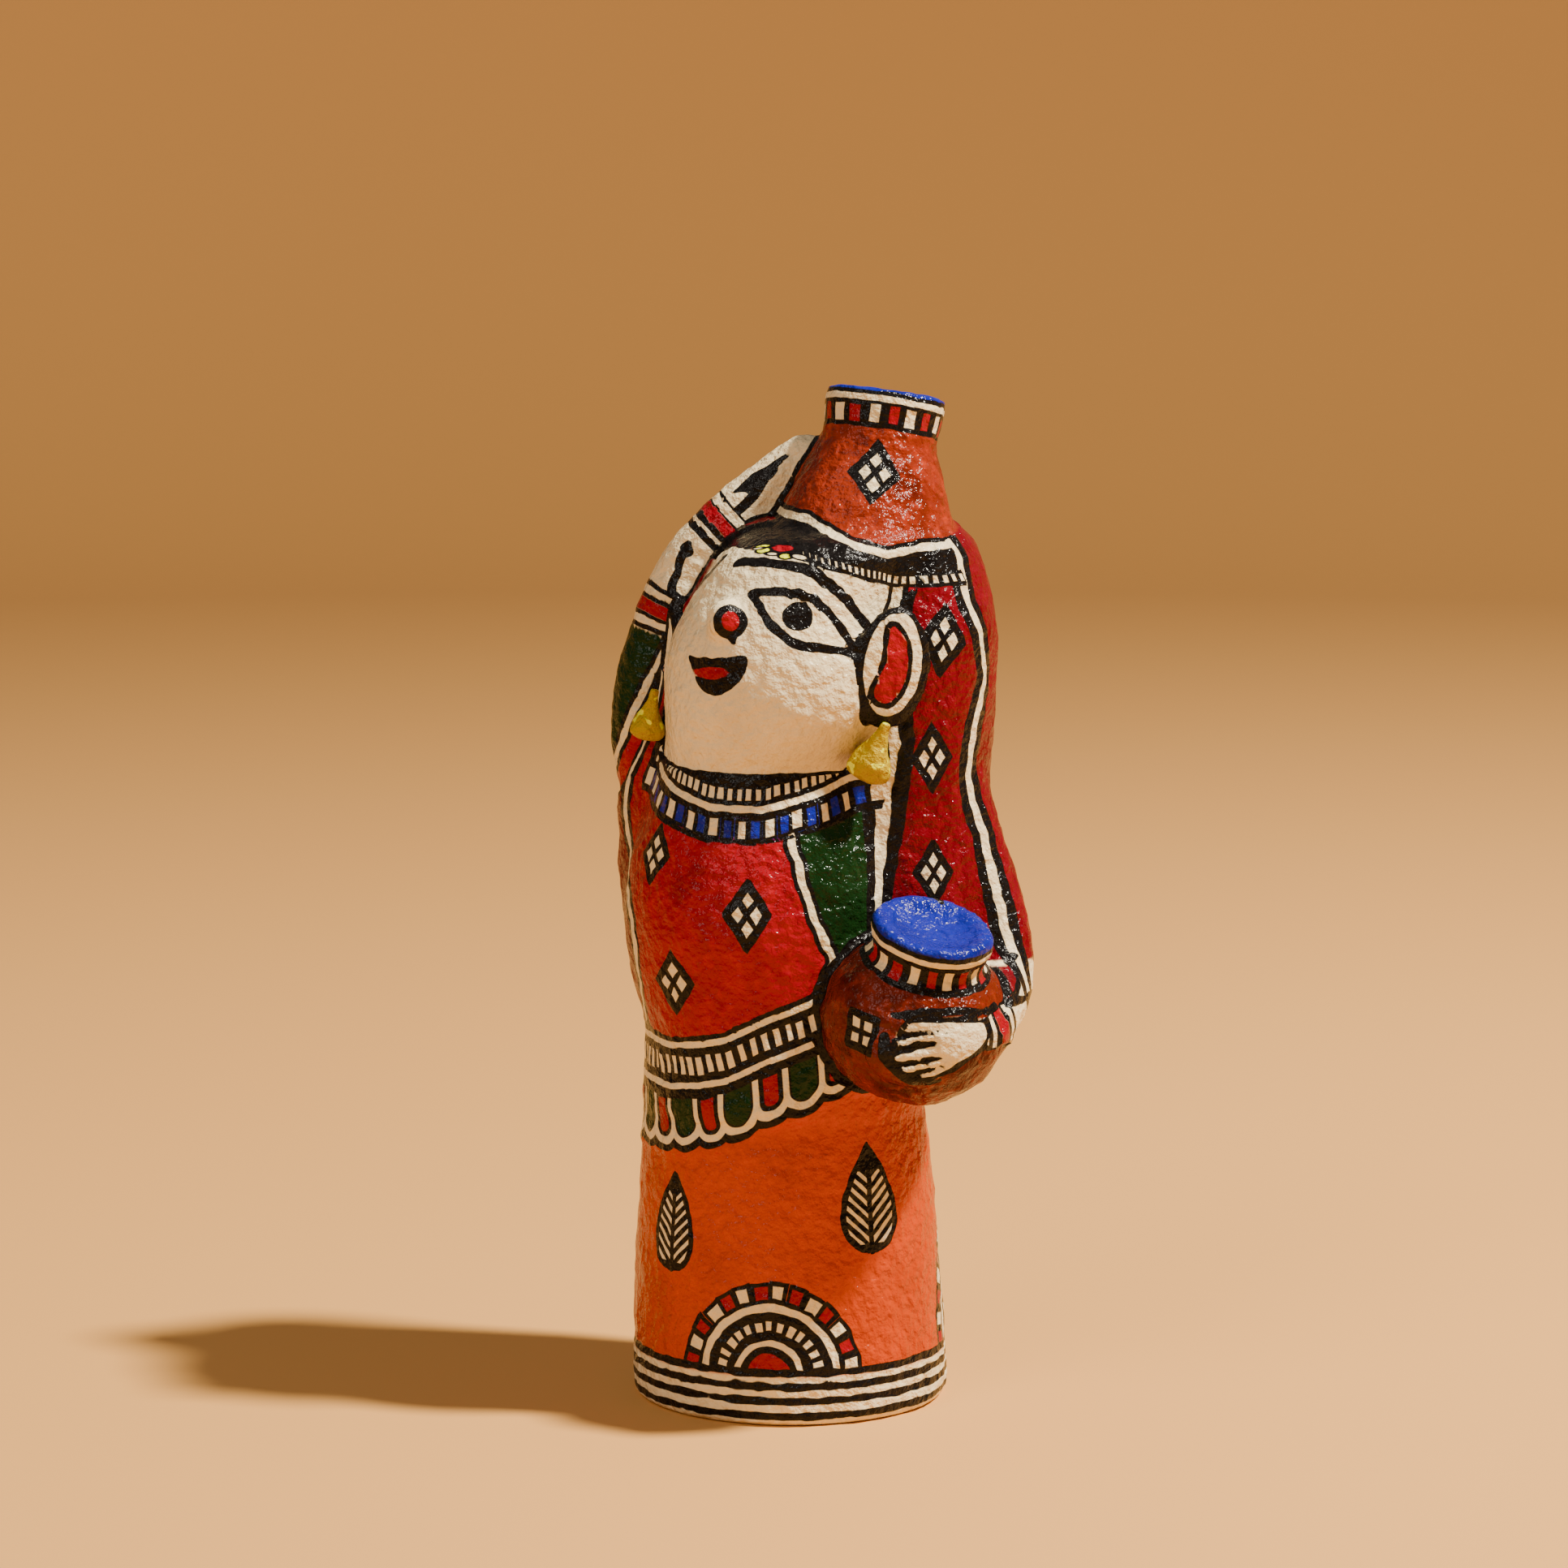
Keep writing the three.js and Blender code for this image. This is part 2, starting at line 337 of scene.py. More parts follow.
def skinNet(values):
    below = values < 0
    mixed = np.zeros([n - 1 for n in values.shape], int)
    corners = [(i, j, k) for i in (0, 1) for j in (0, 1) for k in (0, 1)]
    for i, j, k in corners:
        mixed += below[i : i + mixed.shape[0], j : j + mixed.shape[1], k : k + mixed.shape[2]]
    cells = np.argwhere((mixed > 0) & (mixed < 8))
    spots, weight = np.zeros(cells.shape), np.zeros(len(cells))
    for a in corners:
        for axis in range(3):
            if a[axis]:
                continue
            b = np.array(a)
            b[axis] = 1
            first, second = values[tuple((cells + a).T)], values[tuple((cells + b).T)]
            crossing = (first < 0) != (second < 0)
            t = np.where(crossing, first / np.where(crossing, first - second, 1), 0)
            spots += crossing[:, None] * (np.array(a) + t[:, None] * (b - a))
            weight += crossing
    vertices = placeOf(cells + spots / weight[:, None])
    index = np.full(mixed.shape, -1)
    index[tuple(cells.T)] = np.arange(len(cells))
    quads = []
    for axis in range(3):
        u, v = np.eye(3, dtype=int)[(axis + 1) % 3], np.eye(3, dtype=int)[(axis + 2) % 3]
        first = np.moveaxis(below, axis, 0)[:-1]
        second = np.moveaxis(below, axis, 0)[1:]
        for outward in (True, False):
            edges = np.argwhere(np.moveaxis((first & ~second) if outward else (~first & second), 0, axis))
            ring = [edges - u - v, edges - v, edges, edges - u]
            ring = np.stack([index[tuple(c.T)] for c in ring], 1)
            quads.append(ring if outward else ring[:, ::-1])
    return vertices, np.vstack(quads)


vertices, quads = skinNet(gridDistances())
print("skin:", len(vertices), "points")

# Where the paint goes. Every field is worked out at the skin's points, in millimetres.
# Below zero is inside the mark, and a field is clear of its mark at 6.
clear = 6.0
distances = formDistances(vertices)


def nearestOf(*names):
    return np.min([distances[n] for n in names], axis=0)


parts = {
    "body": nearestOf("skirt", "chest", "cloak", "leftArm"),
    "head": distances["head"],
    "ears": nearestOf("leftEar", "rightEar"),
    "headPot": distances["headPot"],
    "armPot": nearestOf("armPot", "hand"),
    "rightArm": distances["rightArm"],
}
owner = np.argmin(list(parts.values()), axis=0)
isPart = {name: owner == k for k, name in enumerate(parts)}


# Distance to the crease where a part meets the others, below zero on the part itself.
def fromCrease(name):
    field = parts[name] - np.min([d for n, d in parts.items() if n != name], axis=0)
    ends = np.vstack([quads[:, [k, (k + 1) % 4]] for k in range(4)])
    a, b = field[ends[:, 0]], field[ends[:, 1]]
    crossing = (a < 0) != (b < 0)
    share = (a[crossing] / (a[crossing] - b[crossing]))[:, None]
    first, second = vertices[ends[crossing, 0]], vertices[ends[crossing, 1]]
    points = first + share * (second - first)
    tree = KDTree(len(points))
    for k, point in enumerate(points.tolist()):
        tree.insert(point, k)
    tree.balance()
    found = np.full(len(vertices), 9.0)
    for k in np.flatnonzero(abs(field) < 6):
        found[k] = tree.find(vertices[k])[2]
    return np.where(field < 0, -found, found)


crease = {name: fromCrease(name) for name in parts}

sides = np.cross(vertices[quads[:, 2]] - vertices[quads[:, 0]], vertices[quads[:, 3]] - vertices[quads[:, 1]])
normals = np.zeros_like(vertices)
for k in range(4):
    np.add.at(normals, quads[:, k], sides)
normals /= np.linalg.norm(normals, axis=1)[:, None]


# Degrees round an upright axis, zero at the front and growing towards her left.
def turnRound(p, x, y, front=0.0):
    angle = np.degrees(np.arctan2(p[:, 0] - x, y - p[:, 1])) - math.degrees(front)
    return (angle + 180) % 360 - 180


# The same round a pot's own axis, with the height above its foot and the distance from the axis.
def potTurn(p, pot):
    local = (p - pot["foot"]) @ turnedAxes(pot["lean"]).T
    return np.degrees(np.arctan2(local[:, 0], -local[:, 1])), local[:, 2], np.hypot(local[:, 0], local[:, 1])


def curve(points, angle):
    return np.interp(angle, *zip(*points), period=360)


height = vertices[:, 2]
bodyTurn = turnRound(vertices, 0, 0)
neckTurn = turnRound(vertices, -5, -4)
faceTurn = turnRound(vertices, 0, -4, head["turn"])
headPotTurn, headPotRise, headPotOut = potTurn(vertices, headPot)
armPotTurn, armPotRise, armPotOut = potTurn(vertices, armPot)
rightReach = limbDistance(vertices, rightArm)[1]

# Curves round the figure: (degrees, height).
hemEdge = [
    (-170, 63), (-110, 63), (-56, 64), (-34, 63.7), (-18, 65.1), (-6, 66.9), (11, 72.3), (28, 76.3),
    (42, 80), (75, 81), (100, 79), (130, 71), (160, 65),
]
neckEdge = [
    (-140, 170), (-75, 166), (-60, 164), (-38, 161), (-9, 157.5), (18, 157.3), (54, 161.6), (75, 165),
    (140, 170),
]
hairEdge = [
    (-150, 206), (-110, 206), (-85, 209), (-52, 212.6), (-9, 212.3), (12, 212.2), (25, 211), (34, 209.5),
    (44, 208), (60, 205.4), (76, 203.6), (92, 203), (150, 204),
]
# The same round the pot on the head, above its foot.
potEdge = [(-180, 14), (-75, 14.6), (-20, 11.8), (15, 6.4), (32, 5.7), (53, 9), (100, 13), (140, 14)]

aboveHem = height - curve(hemEdge, bodyTurn)
onElbow = isPart["body"] & (height < 124) & (distances["leftArm"] < nearestOf("skirt", "chest", "cloak"))
aboveHem[onElbow] = 40  # no hem there
belowNeck = curve(neckEdge, neckTurn) - height
aboveHair = height - curve(hairEdge, bodyTurn)
abovePot = headPotRise - curve(potEdge, headPotTurn)
# The raised sleeve comes out over the cloak's edge.
aboveSleeve = height - 167 - 1.95 * (vertices[:, 0] + 42.8)

onBody, onFace, onArm = isPart["body"], isPart["head"], isPart["rightArm"]
onPots = {"headPot": isPart["headPot"], "armPot": isPart["armPot"]}
farSide = -120  # degrees round the body, where the front's bands end
hair = {"from": -108, "to": 101, "above": 190}
onHair = (
    (onFace | onBody | onPots["headPot"])
    & (bodyTurn > hair["from"]) & (bodyTurn < hair["to"]) & (height > hair["above"])
)

# Millimetres in a degree round each part.
bodyDegree, faceDegree, hairDegree, neckDegree, potDegree = 0.6, 0.55, 0.5, 0.45, 0.4

# A chart is a way of finding places on part of the skin: turn, height, and millimetres in a degree.
bodyChart = (bodyTurn, height, bodyDegree, onBody | (onFace & (bodyTurn > 60)))
faceChart = (faceTurn, height, faceDegree, onFace)
armPotChart = (armPotTurn, armPotRise, potDegree, onPots["armPot"] | (distances["leftArm"] < 2))


# A line through (turn, height) places of a chart, as points in space on the skin.
def drawn(places, chart, steps=5):
    turns, heights, scale, only = chart
    spots = np.flatnonzero(only)
    line = []
    for angle, z, half in smoothLine([(*place, 0)[:3] for place in places], steps):
        gap = np.hypot((turns[spots] - angle) * scale, heights[spots] - z)
        best = np.argsort(gap)[:5]
        weight = 1 / (gap[best] + 0.3)
        line.append((*(weight @ vertices[spots[best]] / weight.sum()), half))
    return np.array(line)


# Distance from a line in space: half is its half thickness, and the points may add their own.
def stroke(line, half=0.0):
    spine = line[:, :3]
    near = ((vertices > spine.min(axis=0) - 7) & (vertices < spine.max(axis=0) + 7)).all(axis=1)
    found = np.full(len(vertices), clear)
    found[near] = fromLine(vertices[near], line)
    return found - half


def fromLine(p, line):
    best = np.full(len(p), clear)
    for a, b in zip(line[:-1], line[1:]):
        t = segmentShare(p, a[:-1], b[:-1])
        away = np.linalg.norm(p - a[:-1] - t[:, None] * (b - a)[:-1], axis=1)
        best = np.minimum(best, away - a[-1] - t * (b - a)[-1])
    return best


# Signed distance of a closed patch of a chart.
def patch(places, chart, steps=5):
    turns, heights, _, only = chart
    ring = smoothLine([(*place, 0) for place in [*places, places[0]]], steps)[:, :2]
    inside = np.zeros(len(vertices), bool)
    for (a, low), (b, high) in zip(ring[:-1], ring[1:]):
        if low != high:
            crossing = (low > heights) != (high > heights)
            inside ^= crossing & (turns < a + (heights - low) / (high - low) * (b - a))
    edge = stroke(drawn([*places, places[0]], chart, steps))
    return np.where(inside & only, -edge, edge)


def between(value, low, high):
    return np.maximum(low - value, value - high)


# A field on one part of the skin alone.
def only(where, field):
    return np.where(where, field, clear)


# Flat coordinates laid on the skin at a place: across, up, and the depth.
def laidOn(place, lean):
    spot = np.argmin(np.linalg.norm(vertices - place, axis=1))
    out = normals[np.linalg.norm(vertices - vertices[spot], axis=1) < 7].mean(axis=0)
    out /= np.linalg.norm(out)
    across = np.cross((0, 0, 1), out)
    across /= np.linalg.norm(across)
    up = np.cross(out, across)
    c, s = math.cos(math.radians(lean)), math.sin(math.radians(lean))
    local = vertices - vertices[spot]
    u, v, depth = local @ across, local @ up, local @ out
    return c * u - s * v, s * u + c * v, depth


# Bands of the shawl's hem above its lower edge, and of the necklace down from the neck.
hemBands = {
    "tongues": 15.5, "lowLine": (16.7, 18.5), "ladder": (18.4, 26.9), "ticks": 22.6,
    "highLine": (26.8, 28.7), "cap": (28.6, 30),
}
necklace = {
    "ladder": (-0.5, 6), "line": (5.9, 7.8), "gap": (7.8, 8.9), "beads": (8.8, 14.2), "edge": (14.1, 15.4),
    "ticks": 3.4, "beadLine": 11.5, "end": -80,
}
# Where the armlets start, along the raised arm. The sleeve ends at the first.
sleeveEnd, upperArmlet = 50, 75.5
elbowLine = 104
wristTop = 112
baseTop = 13
baseStripes = (13.4, 10, 6.5, 2.7)

colours = {
    "ink": (0.006, 0.005, 0.005),
    "cream": (0.80, 0.67, 0.42),
    "red": (0.30, 0.001, 0.010),
    # a darker copy of the red: painted shade on the cloak's sides and back
    "shaded red": (0.15, 0.001, 0.007),
    "orange": (0.47, 0.044, 0.0),
    "green": (0.004, 0.022, 0.004),
    "rust": (0.22, 0.021, 0.007),
    "deep rust": (0.13, 0.012, 0.004),
    "blue": (0.008, 0.012, 0.25),
    "yellow": (0.92, 0.98, 0.0),
}
tint = np.empty((len(vertices), 3))
tint[:] = colours["red"]


def fill(name, where):
    tint[where] = colours[name]


def byHeight(edge):
    return np.interp(height, *zip(*[(z, turn) for turn, z in edge[::-1]]))


cloakEdge = [
    (78, 206), (77, 202), (72, 193), (70, 178), (71, 166), (69, 156), (67, 147), (64, 137), (60, 128),
    (58, 115), (56, 100), (54, 92),
]
blouseEdge = [(20, 146), (20.5, 142), (24, 134.8), (29, 125), (33, 119), (37, 114), (42, 106), (48, 99)]
leftBorder = [
    (101, 215), (102, 211), (98, 200.7), (99, 189), (101, 181), (98, 173.6), (95, 166), (94, 155),
    (95, 142), (94, 129), (92, 119), (89, 110), (87, 104),
]
rightBorder = [
    (-87, 181), (-86, 167), (-84, 157), (-83.6, 151.6), (-82.7, 144.8), (-79, 138), (-68, 131.5),
    (-57, 125.5), (-51.5, 119), (-50.5, 112), (-53, 104), (-58, 96),
]
onFront = onBody & (bodyTurn < byHeight(cloakEdge)) & (neckTurn > necklace["end"]) & (bodyTurn > farSide)
onCloak = onBody & (aboveHem > 20) & ((bodyTurn > byHeight(cloakEdge)) | (bodyTurn < byHeight(rightBorder)))
# The cloak round the sides and back gets the darker red, as painted shade.
fill("shaded red", onCloak)
fill("orange", onBody & (aboveHem < 6))
fill("cream", onBody & (height < baseTop))
fill("green", onFront & (bodyTurn > byHeight(blouseEdge)) & (aboveHem > 26) & (height < 166))
fill("blue", onFront & (aboveHem > 20) & (between(belowNeck, *necklace["beads"]) < 0))
fill("cream", onFront & (belowNeck < 0) & (bodyTurn > 40) & (height < 182))
fill("cream", (onFace & ((bodyTurn < byHeight(cloakEdge)) | (height < 186))) | isPart["ears"])
fill("cream", onArm & (rightReach > sleeveEnd))
fill("green", onArm & (rightReach < sleeveEnd) & (aboveSleeve > 0))
fill("ink", onHair & (aboveHair > 0))
fill("rust", (onPots["headPot"] | (onHair & (headPotOut < 27))) & (abovePot > 0))
fill("deep rust", onPots["armPot"])
rims = {
    "headPot": {
        "rise": headPotRise, "out": headPotOut, "cells": 40.0, "line": 43.9, "lip": 44.8, "dish": 12.6,
    },
    "armPot": {
        "rise": armPotRise, "out": armPotOut, "cells": 35.9, "line": 40.4, "lip": 41.6, "dish": 12.4,
    },
}
rimInk, rimCream = [], []
for name, rim in rims.items():
    outside = np.maximum(crease[name], rim["dish"] - rim["out"])
    rimInk.append(np.maximum(between(rim["rise"], rim["cells"] - 3.3, rim["line"] - 0.8), outside))
    rimCream.append(np.maximum(between(rim["rise"], rim["line"] - 0.8, rim["line"] + 0.8), outside))
    inDish = (rim["out"] < rim["dish"]) & (rim["rise"] > rim["lip"] - 4)
    fill("blue", onPots[name] & ((rim["rise"] > rim["lip"]) | inDish))

# Her left forearm and hand, painted over the pot that they hold.
forearmEdge = [
    (72, 26.8), (85, 28), (102, 27.6), (121, 27.2), (131, 28), (141, 29), (150, 30), (152, 21), (135, 17),
    (118, 17), (105, 18.2), (92, 20), (80, 20.8), (70, 21.6),
]
handEdge = [
    (73, 26.8), (65, 28.1), (41, 28.8), (15, 27.2), (9, 22), (9, 18.6), (16, 16), (23, 14.4), (30, 14.2),
    (44, 16.6), (54, 19.3), (66, 21.2), (72, 23.6),
]
forearm, hand = patch(forearmEdge, armPotChart, 3), patch(handEdge, armPotChart, 3)
fingerGaps = [
    [(1, 22.4, 1.4), (11, 23.9, 1.0), (20, 25.1, 0.7), (30, 25.8, 0.6), (42, 26.2, 0.2)],
    [(4, 19.8, 1.1), (9, 20.1, 0.9), (18, 21.6, 0.9), (25, 22.7, 0.9), (34, 23.3, 0.8)],
    [(7, 16.9, 0.9), (13, 17.5, 0.8), (23, 18.5, 0.7), (30, 19.5, 0.6), (41, 20.4, 0.2)],
    [(16, 14.2, 0.9), (21, 14.9, 0.7), (28, 16.2, 0.6), (37, 17.5, 0.5), (43, 18.6, 0.2)],
]
gaps = np.min([stroke(drawn(places, armPotChart, 4)) for places in fingerGaps], axis=0)
fill("cream", ((np.minimum(forearm, hand) < 0) & (height < wristTop)) | (onElbow & (height < elbowLine)))
aboveHand = [
    (1, 27.2, 0.7), (12, 28.6, 0.9), (35, 30.2, 1.0), (53, 30.2, 0.9), (74, 29.2, 0.8), (90, 28.8, 0.7),
]
belowHand = [
    (2, 22.5, 1.4), (6, 18.8, 1.4), (12, 16.4, 1.2), (18, 14.2, 1.1), (26, 12.8, 0.9), (40, 14, 0.7),
]
handInk = [
    np.maximum(gaps, hand - 0.5),
    abs(hand) - 0.75,
    np.maximum(abs(forearm) - 0.8, -hand),
    stroke(drawn(aboveHand, armPotChart)),
    stroke(drawn(belowHand, armPotChart)),
]
wrist = {"from": 70, "first": 1.2}  # degrees round the held pot, then millimetres to the first bangle
bangles = (armPotTurn - wrist["from"]) * potDegree

# The cloak's front edge also runs over the pot's foot and the head, above the ear.
edgeAway = abs(np.radians(bodyTurn - byHeight(cloakEdge))) * np.hypot(vertices[:, 0], vertices[:, 1]) - 1.15
edgeShows = (onBody | ((onFace | onPots["headPot"]) & (height > 186))) & (between(height, 92, 206) < 0)

# Cream strokes, each cased in ink.
casedStrokes = [
    only(edgeShows, edgeAway),
    only(onBody, stroke(drawn(blouseEdge, bodyChart), 0.9)),
    only(onBody, stroke(drawn(leftBorder, bodyChart), 1.15)),
    only(onBody, stroke(drawn(rightBorder, bodyChart), 1.1)),
    only(onArm & (rightReach < sleeveEnd), abs(aboveSleeve) * 0.46 - 0.9),
    only(onBody, between(aboveHem, *hemBands["lowLine"])),
    only(onBody, between(aboveHem, *hemBands["highLine"])),
    only(onFront, between(belowNeck, *necklace["line"])),
    only(onHair | onPots["headPot"], abs(abovePot) - 0.9),
    *rimCream,
]
cream = np.min(casedStrokes, axis=0)
# The ink beside a stroke is heavier on the cloak.
heavy = 1.5 * (onBody & (aboveHem > hemBands["cap"][1]) & (bodyTurn > 45)) + 0.5 * (onBody & (bodyTurn < -50))
cream = np.where(onPots["headPot"] & (abovePot < 2) & ~onHair & (aboveHair < 6), clear, cream)

# Her face. The far eye and brow are drawn like the near ones, further round.
brow = [
    (-6, 208.9), (11, 209.6), (32, 209.6), (46, 208.9), (55, 207.2), (63, 204.4), (70, 201.2), (75, 198),
    (82, 194.2),
]
farBrow = [(-35, 210), (-38, 208.6), (-43, 206.6), (-52, 204.5), (-66, 202), (-78, 196)]
eyeTop = [
    (16, 202.6), (27, 203), (36, 203), (46, 202.6), (54, 200.8), (60, 198), (65, 194.9), (68.4, 192), (73, 188),
]
eyeLow = [
    (16, 202.6), (21.6, 200.3), (26, 197.6), (32, 194.7), (37.6, 192.3), (46, 190.4), (55, 190), (62, 189.4),
    (73, 188),
]
mouth = [(-16, 186.9), (-6, 186.6), (3, 186.7), (17.5, 187.6), (15, 182.4), (3, 178.7), (-8, 181.4)]
farMiddle = -20.5


def mirrored(places):
    return [(2 * farMiddle - turn, z) for turn, z in places]


def spotOn(turn, z, half):
    return np.linalg.norm(vertices - drawn([(turn, z), (turn + 0.1, z)], faceChart, 1)[0, :3], axis=1) - half


nostril = spotOn(10, 196.4, 4.35)
lips = patch(mouth, faceChart, 3)
lens = np.hypot((faceTurn + 0.5) / 11.5, (height - 183.6 - 0.02 * faceTurn) / 1.45) * 1.45 - 1.45
faceInk = [
    stroke(drawn(brow, faceChart), 1.4),
    stroke(drawn(farBrow, faceChart), 1.3),
    stroke(drawn(eyeTop, faceChart), 1.15),
    stroke(drawn(eyeLow, faceChart), 1.15),
    stroke(drawn(mirrored(eyeTop), faceChart), 1.1),
    stroke(drawn(mirrored(eyeLow), faceChart), 1.1),
    spotOn(43, 197.3, 3.75),
    spotOn(2 * farMiddle - 43, 197.3, 3.75),
    np.maximum(nostril, -1.95 - nostril),
    stroke(drawn([(10, 192.6, 1.0), (11.5, 191.3, 0.7)], faceChart)),
    np.maximum(lips - 0.5, -lens),
]
fill("red", onFace & ((nostril < -1.2) | ((lips < 0) & (lens < 0.8))))

# The ears: ink rim, cream ring, ink, and a red bean that bends backwards.
earInk = np.full(len(vertices), clear)
beanLine = [(-1.6, 9.0, 1.3), (-0.1, 5.6, 2.6), (0.4, 1, 3.0), (-0.2, -3, 3.4), (-1.3, -5.8, 2.9)]
for side, name in ((1, "leftEar"), (-1, "rightEar")):
    centre, axes = earFrame(side)
    u, _, w = ((vertices - centre) @ axes.T).T
    u = side * u
    bean = fromLine(np.stack([u, w], 1), smoothLine([(*spot, 0) for spot in beanLine], 3)[:, :3])
    middleU, middleW, wide, tall = ear["oval"]
    rim = np.hypot((u - middleU) / wide, (w - middleW) / tall)
    edge = rim * (rim - 1) / (np.hypot((u - middleU) / wide**2, (w - middleW) / tall**2) + 1e-9)
    onThis = distances[name] < 1.0
    earInk = np.where(onThis, np.minimum(np.maximum(-edge, -clear), between(bean, -0.2, 1.2)), earInk)
    fill("red", isPart["ears"] & onThis & (bean < 0.4))
earInk = np.maximum(earInk, crease["ears"] - 0.9)

# Ink strokes and fills.
handGap = np.array([
    (-17.4, 7.2, 224.4, 0.5), (-14.5, 7.6, 226.0, 1.7), (-12.3, 8.4, 227.7, 2.3), (-10.4, 8.9, 229.0, 2.0),
    (-8.3, 9.9, 231.1, 1.0), (-5, 10.5, 234, 0.9),
])
underHand = np.array([
    (-19, 4, 217, 0.5), (-17.1, 4.9, 219.1, 1.1), (-14.1, 6.1, 221.8, 1.3), (-12, 7.1, 224, 1.2),
    (-9.7, 8.4, 227.5, 0.9), (-7.8, 9.4, 229.8, 0.9),
])
wholeNecklace = between(belowNeck, necklace["ladder"][0], necklace["edge"][1])
inkFields = [
    np.maximum(np.min(faceInk, axis=0), crease["head"]),
    earInk,
    *[only(onBody, between(aboveHem, *hemBands[band])) for band in ("ladder", "cap")],
    *[only(onFront, between(belowNeck, *necklace[band])) for band in ("ladder", "gap", "edge")],
    only(onBody, np.maximum(abs(neckTurn - necklace["end"]) * neckDegree - 0.9, wholeNecklace)),
    only(onElbow, abs(height - elbowLine) - 0.8),
    only(onHair, between(aboveHair, -0.2, 3.4)),
    *rimInk,
    *handInk,
    np.maximum(abs(crease["armPot"]) - 1.4, 1.2 - np.minimum(forearm, hand)),
    abs(crease["rightArm"]) - 1.0,
    only(height < 176, abs(crease["head"]) - 0.9),
    only(onArm, np.minimum(stroke(handGap), stroke(underHand))),
    stroke(drawn([(-88, 199.8), (-93, 207.7), (-96, 211.2)], (bodyTurn, height, bodyDegree, onArm)), 1.2),
]
inkFields += [only(onBody, abs(height - z) - 0.95) for z in baseStripes]
ink = np.min(inkFields, axis=0)

# Motifs laid on the skin: a place, how wide and tall, and its lean.
diamonds = [
    ((2, -37, 125.9), 12.5, 19, 0), ((-17.7, -34, 107.7), 13.5, 17.5, 0), ((-24.5, -28.8, 138.1), 12, 16, 0),
    ((40.8, -3.1, 190.6), 12.5, 19, 10), ((39.1, -6, 162.1), 11, 18, 0), ((40.1, -8.5, 133.7), 10.5, 17, 0),
    ((21.9, 0, 230.8), 13.5, 18.5, 9), ((33.3, -43, 99.9), 13, 14.5, -36),
    ((2, 28, 229), 13, 19, 0), ((29, 27, 226), 13, 19, 0),
    ((-43, 12, 150), 12, 18, 0), ((-40, 20, 120), 12, 18, 0), ((-26, 34, 150), 13, 19, 0),
    ((8, 38, 140), 13, 19, 0), ((38, 28, 150), 13, 19, 0), ((-8, 38, 176), 13, 19, 0),
    ((26, 38, 180), 13, 19, 0), ((-10, 38, 108), 13, 19, 0),
    ((28, 32, 112), 13, 19, 0), ((-22, 34, 198), 12, 17, 0), ((6, 40, 205), 12, 17, 0),
]
leaves = [
    ((-19.4, -32.2, 48), 15.3, 25.5), ((28.7, -21.5, 55), 17.3, 27.5), ((-37, -2, 44), 15, 26),
    ((-30, 24, 46), 16, 26),
]


def diamondReach(u, v, wide, tall):
    a, b = v / tall + u / wide, v / tall - u / wide
    return a, b, (np.maximum(abs(a), abs(b)) - 0.5) * wide


def leafReach(u, v, wide, tall):
    rise = v / tall + 0.5
    share = np.clip(rise, 0, 1)
    width = wide / 2 * 2.5 * np.sqrt(share) * (1 - share)
    return u, v + tall / 2, np.maximum(abs(u) - width, np.maximum(-rise, rise - 1) * tall)


def motifs(places, reach, where):
    field = np.tile((9.0, 9.0, 9.0), (len(vertices), 1))
    for place, wide, tall, *lean in places:
        u, v, depth = laidOn(np.array(place, float), lean[0] if lean else 0)
        mark = reach(u, v, wide, tall)
        closer = (mark[2] < field[:, 2]) & (abs(depth) < 9) & where
        field[closer] = np.stack(mark, 1)[closer]
    return field


# A flower at the parting: coordinates laid on the brow's top.
def flowerField():
    u, v, depth = laidOn(drawn([(33, 213.4), (33.1, 213.4)], faceChart, 1)[0, :3], 0)
    away = np.where((np.hypot(u, v) < 9) & (abs(depth) < 5), 0, 9)
    return np.stack([u + away * 9, v, away], 1)


# Rosettes rise from the base's border: (degrees round the body, radius, times the number of beads).
rosettes = {
    "places": [(12, 22.8, 1), (162, 48, 2)],
    "foot": 12.6,
    "bodyRadius": 38.6,
    "rings": {"beads": 20.4, "inkEdge": 18.9, "outerLine": 16.7, "ticks": 12.2, "innerLine": 8.0, "core": 5.4},
}


# Every rosette is drawn with the first one's rings, widened from its middle.
def rosetteField():
    field = np.tile((90.0, 0.0, 0.0), (len(vertices), 1))
    plainRadius = rosettes["places"][0][1]
    for turn, radius, fold in rosettes["places"]:
        u = np.radians((bodyTurn - turn + 180) % 360 - 180) * rosettes["bodyRadius"]
        v = height - rosettes["foot"]
        r = np.hypot(u, v) - radius + plainRadius
        closer = (r < field[:, 0]) & onBody & (aboveHem < 0) & (v > 0)
        field[closer] = np.stack([r, np.degrees(np.arctan2(v, u)) * fold, 0 * r], 1)[closer]
    return field


def painted(*names):
    return np.any([np.all(tint == colours[name], axis=1) for name in names], axis=0)


# The height up a pot, with no blocks in its dish or off the pot.
def rimRise(name):
    rim = rims[name]
    inDish, offPot = 60, 0
    return np.where(onPots[name], np.where(rim["out"] > rim["dish"], rim["rise"], inDish), offPot)


# How uneven each paint is: the reds, green and blue are the rest.
unevenness = [(("cream",), 0.1), (("orange",), 0.25), (("rust", "deep rust"), 1.0)]
mottle = np.select([painted(*names) for names, _ in unevenness], [amount for _, amount in unevenness], 0.45)

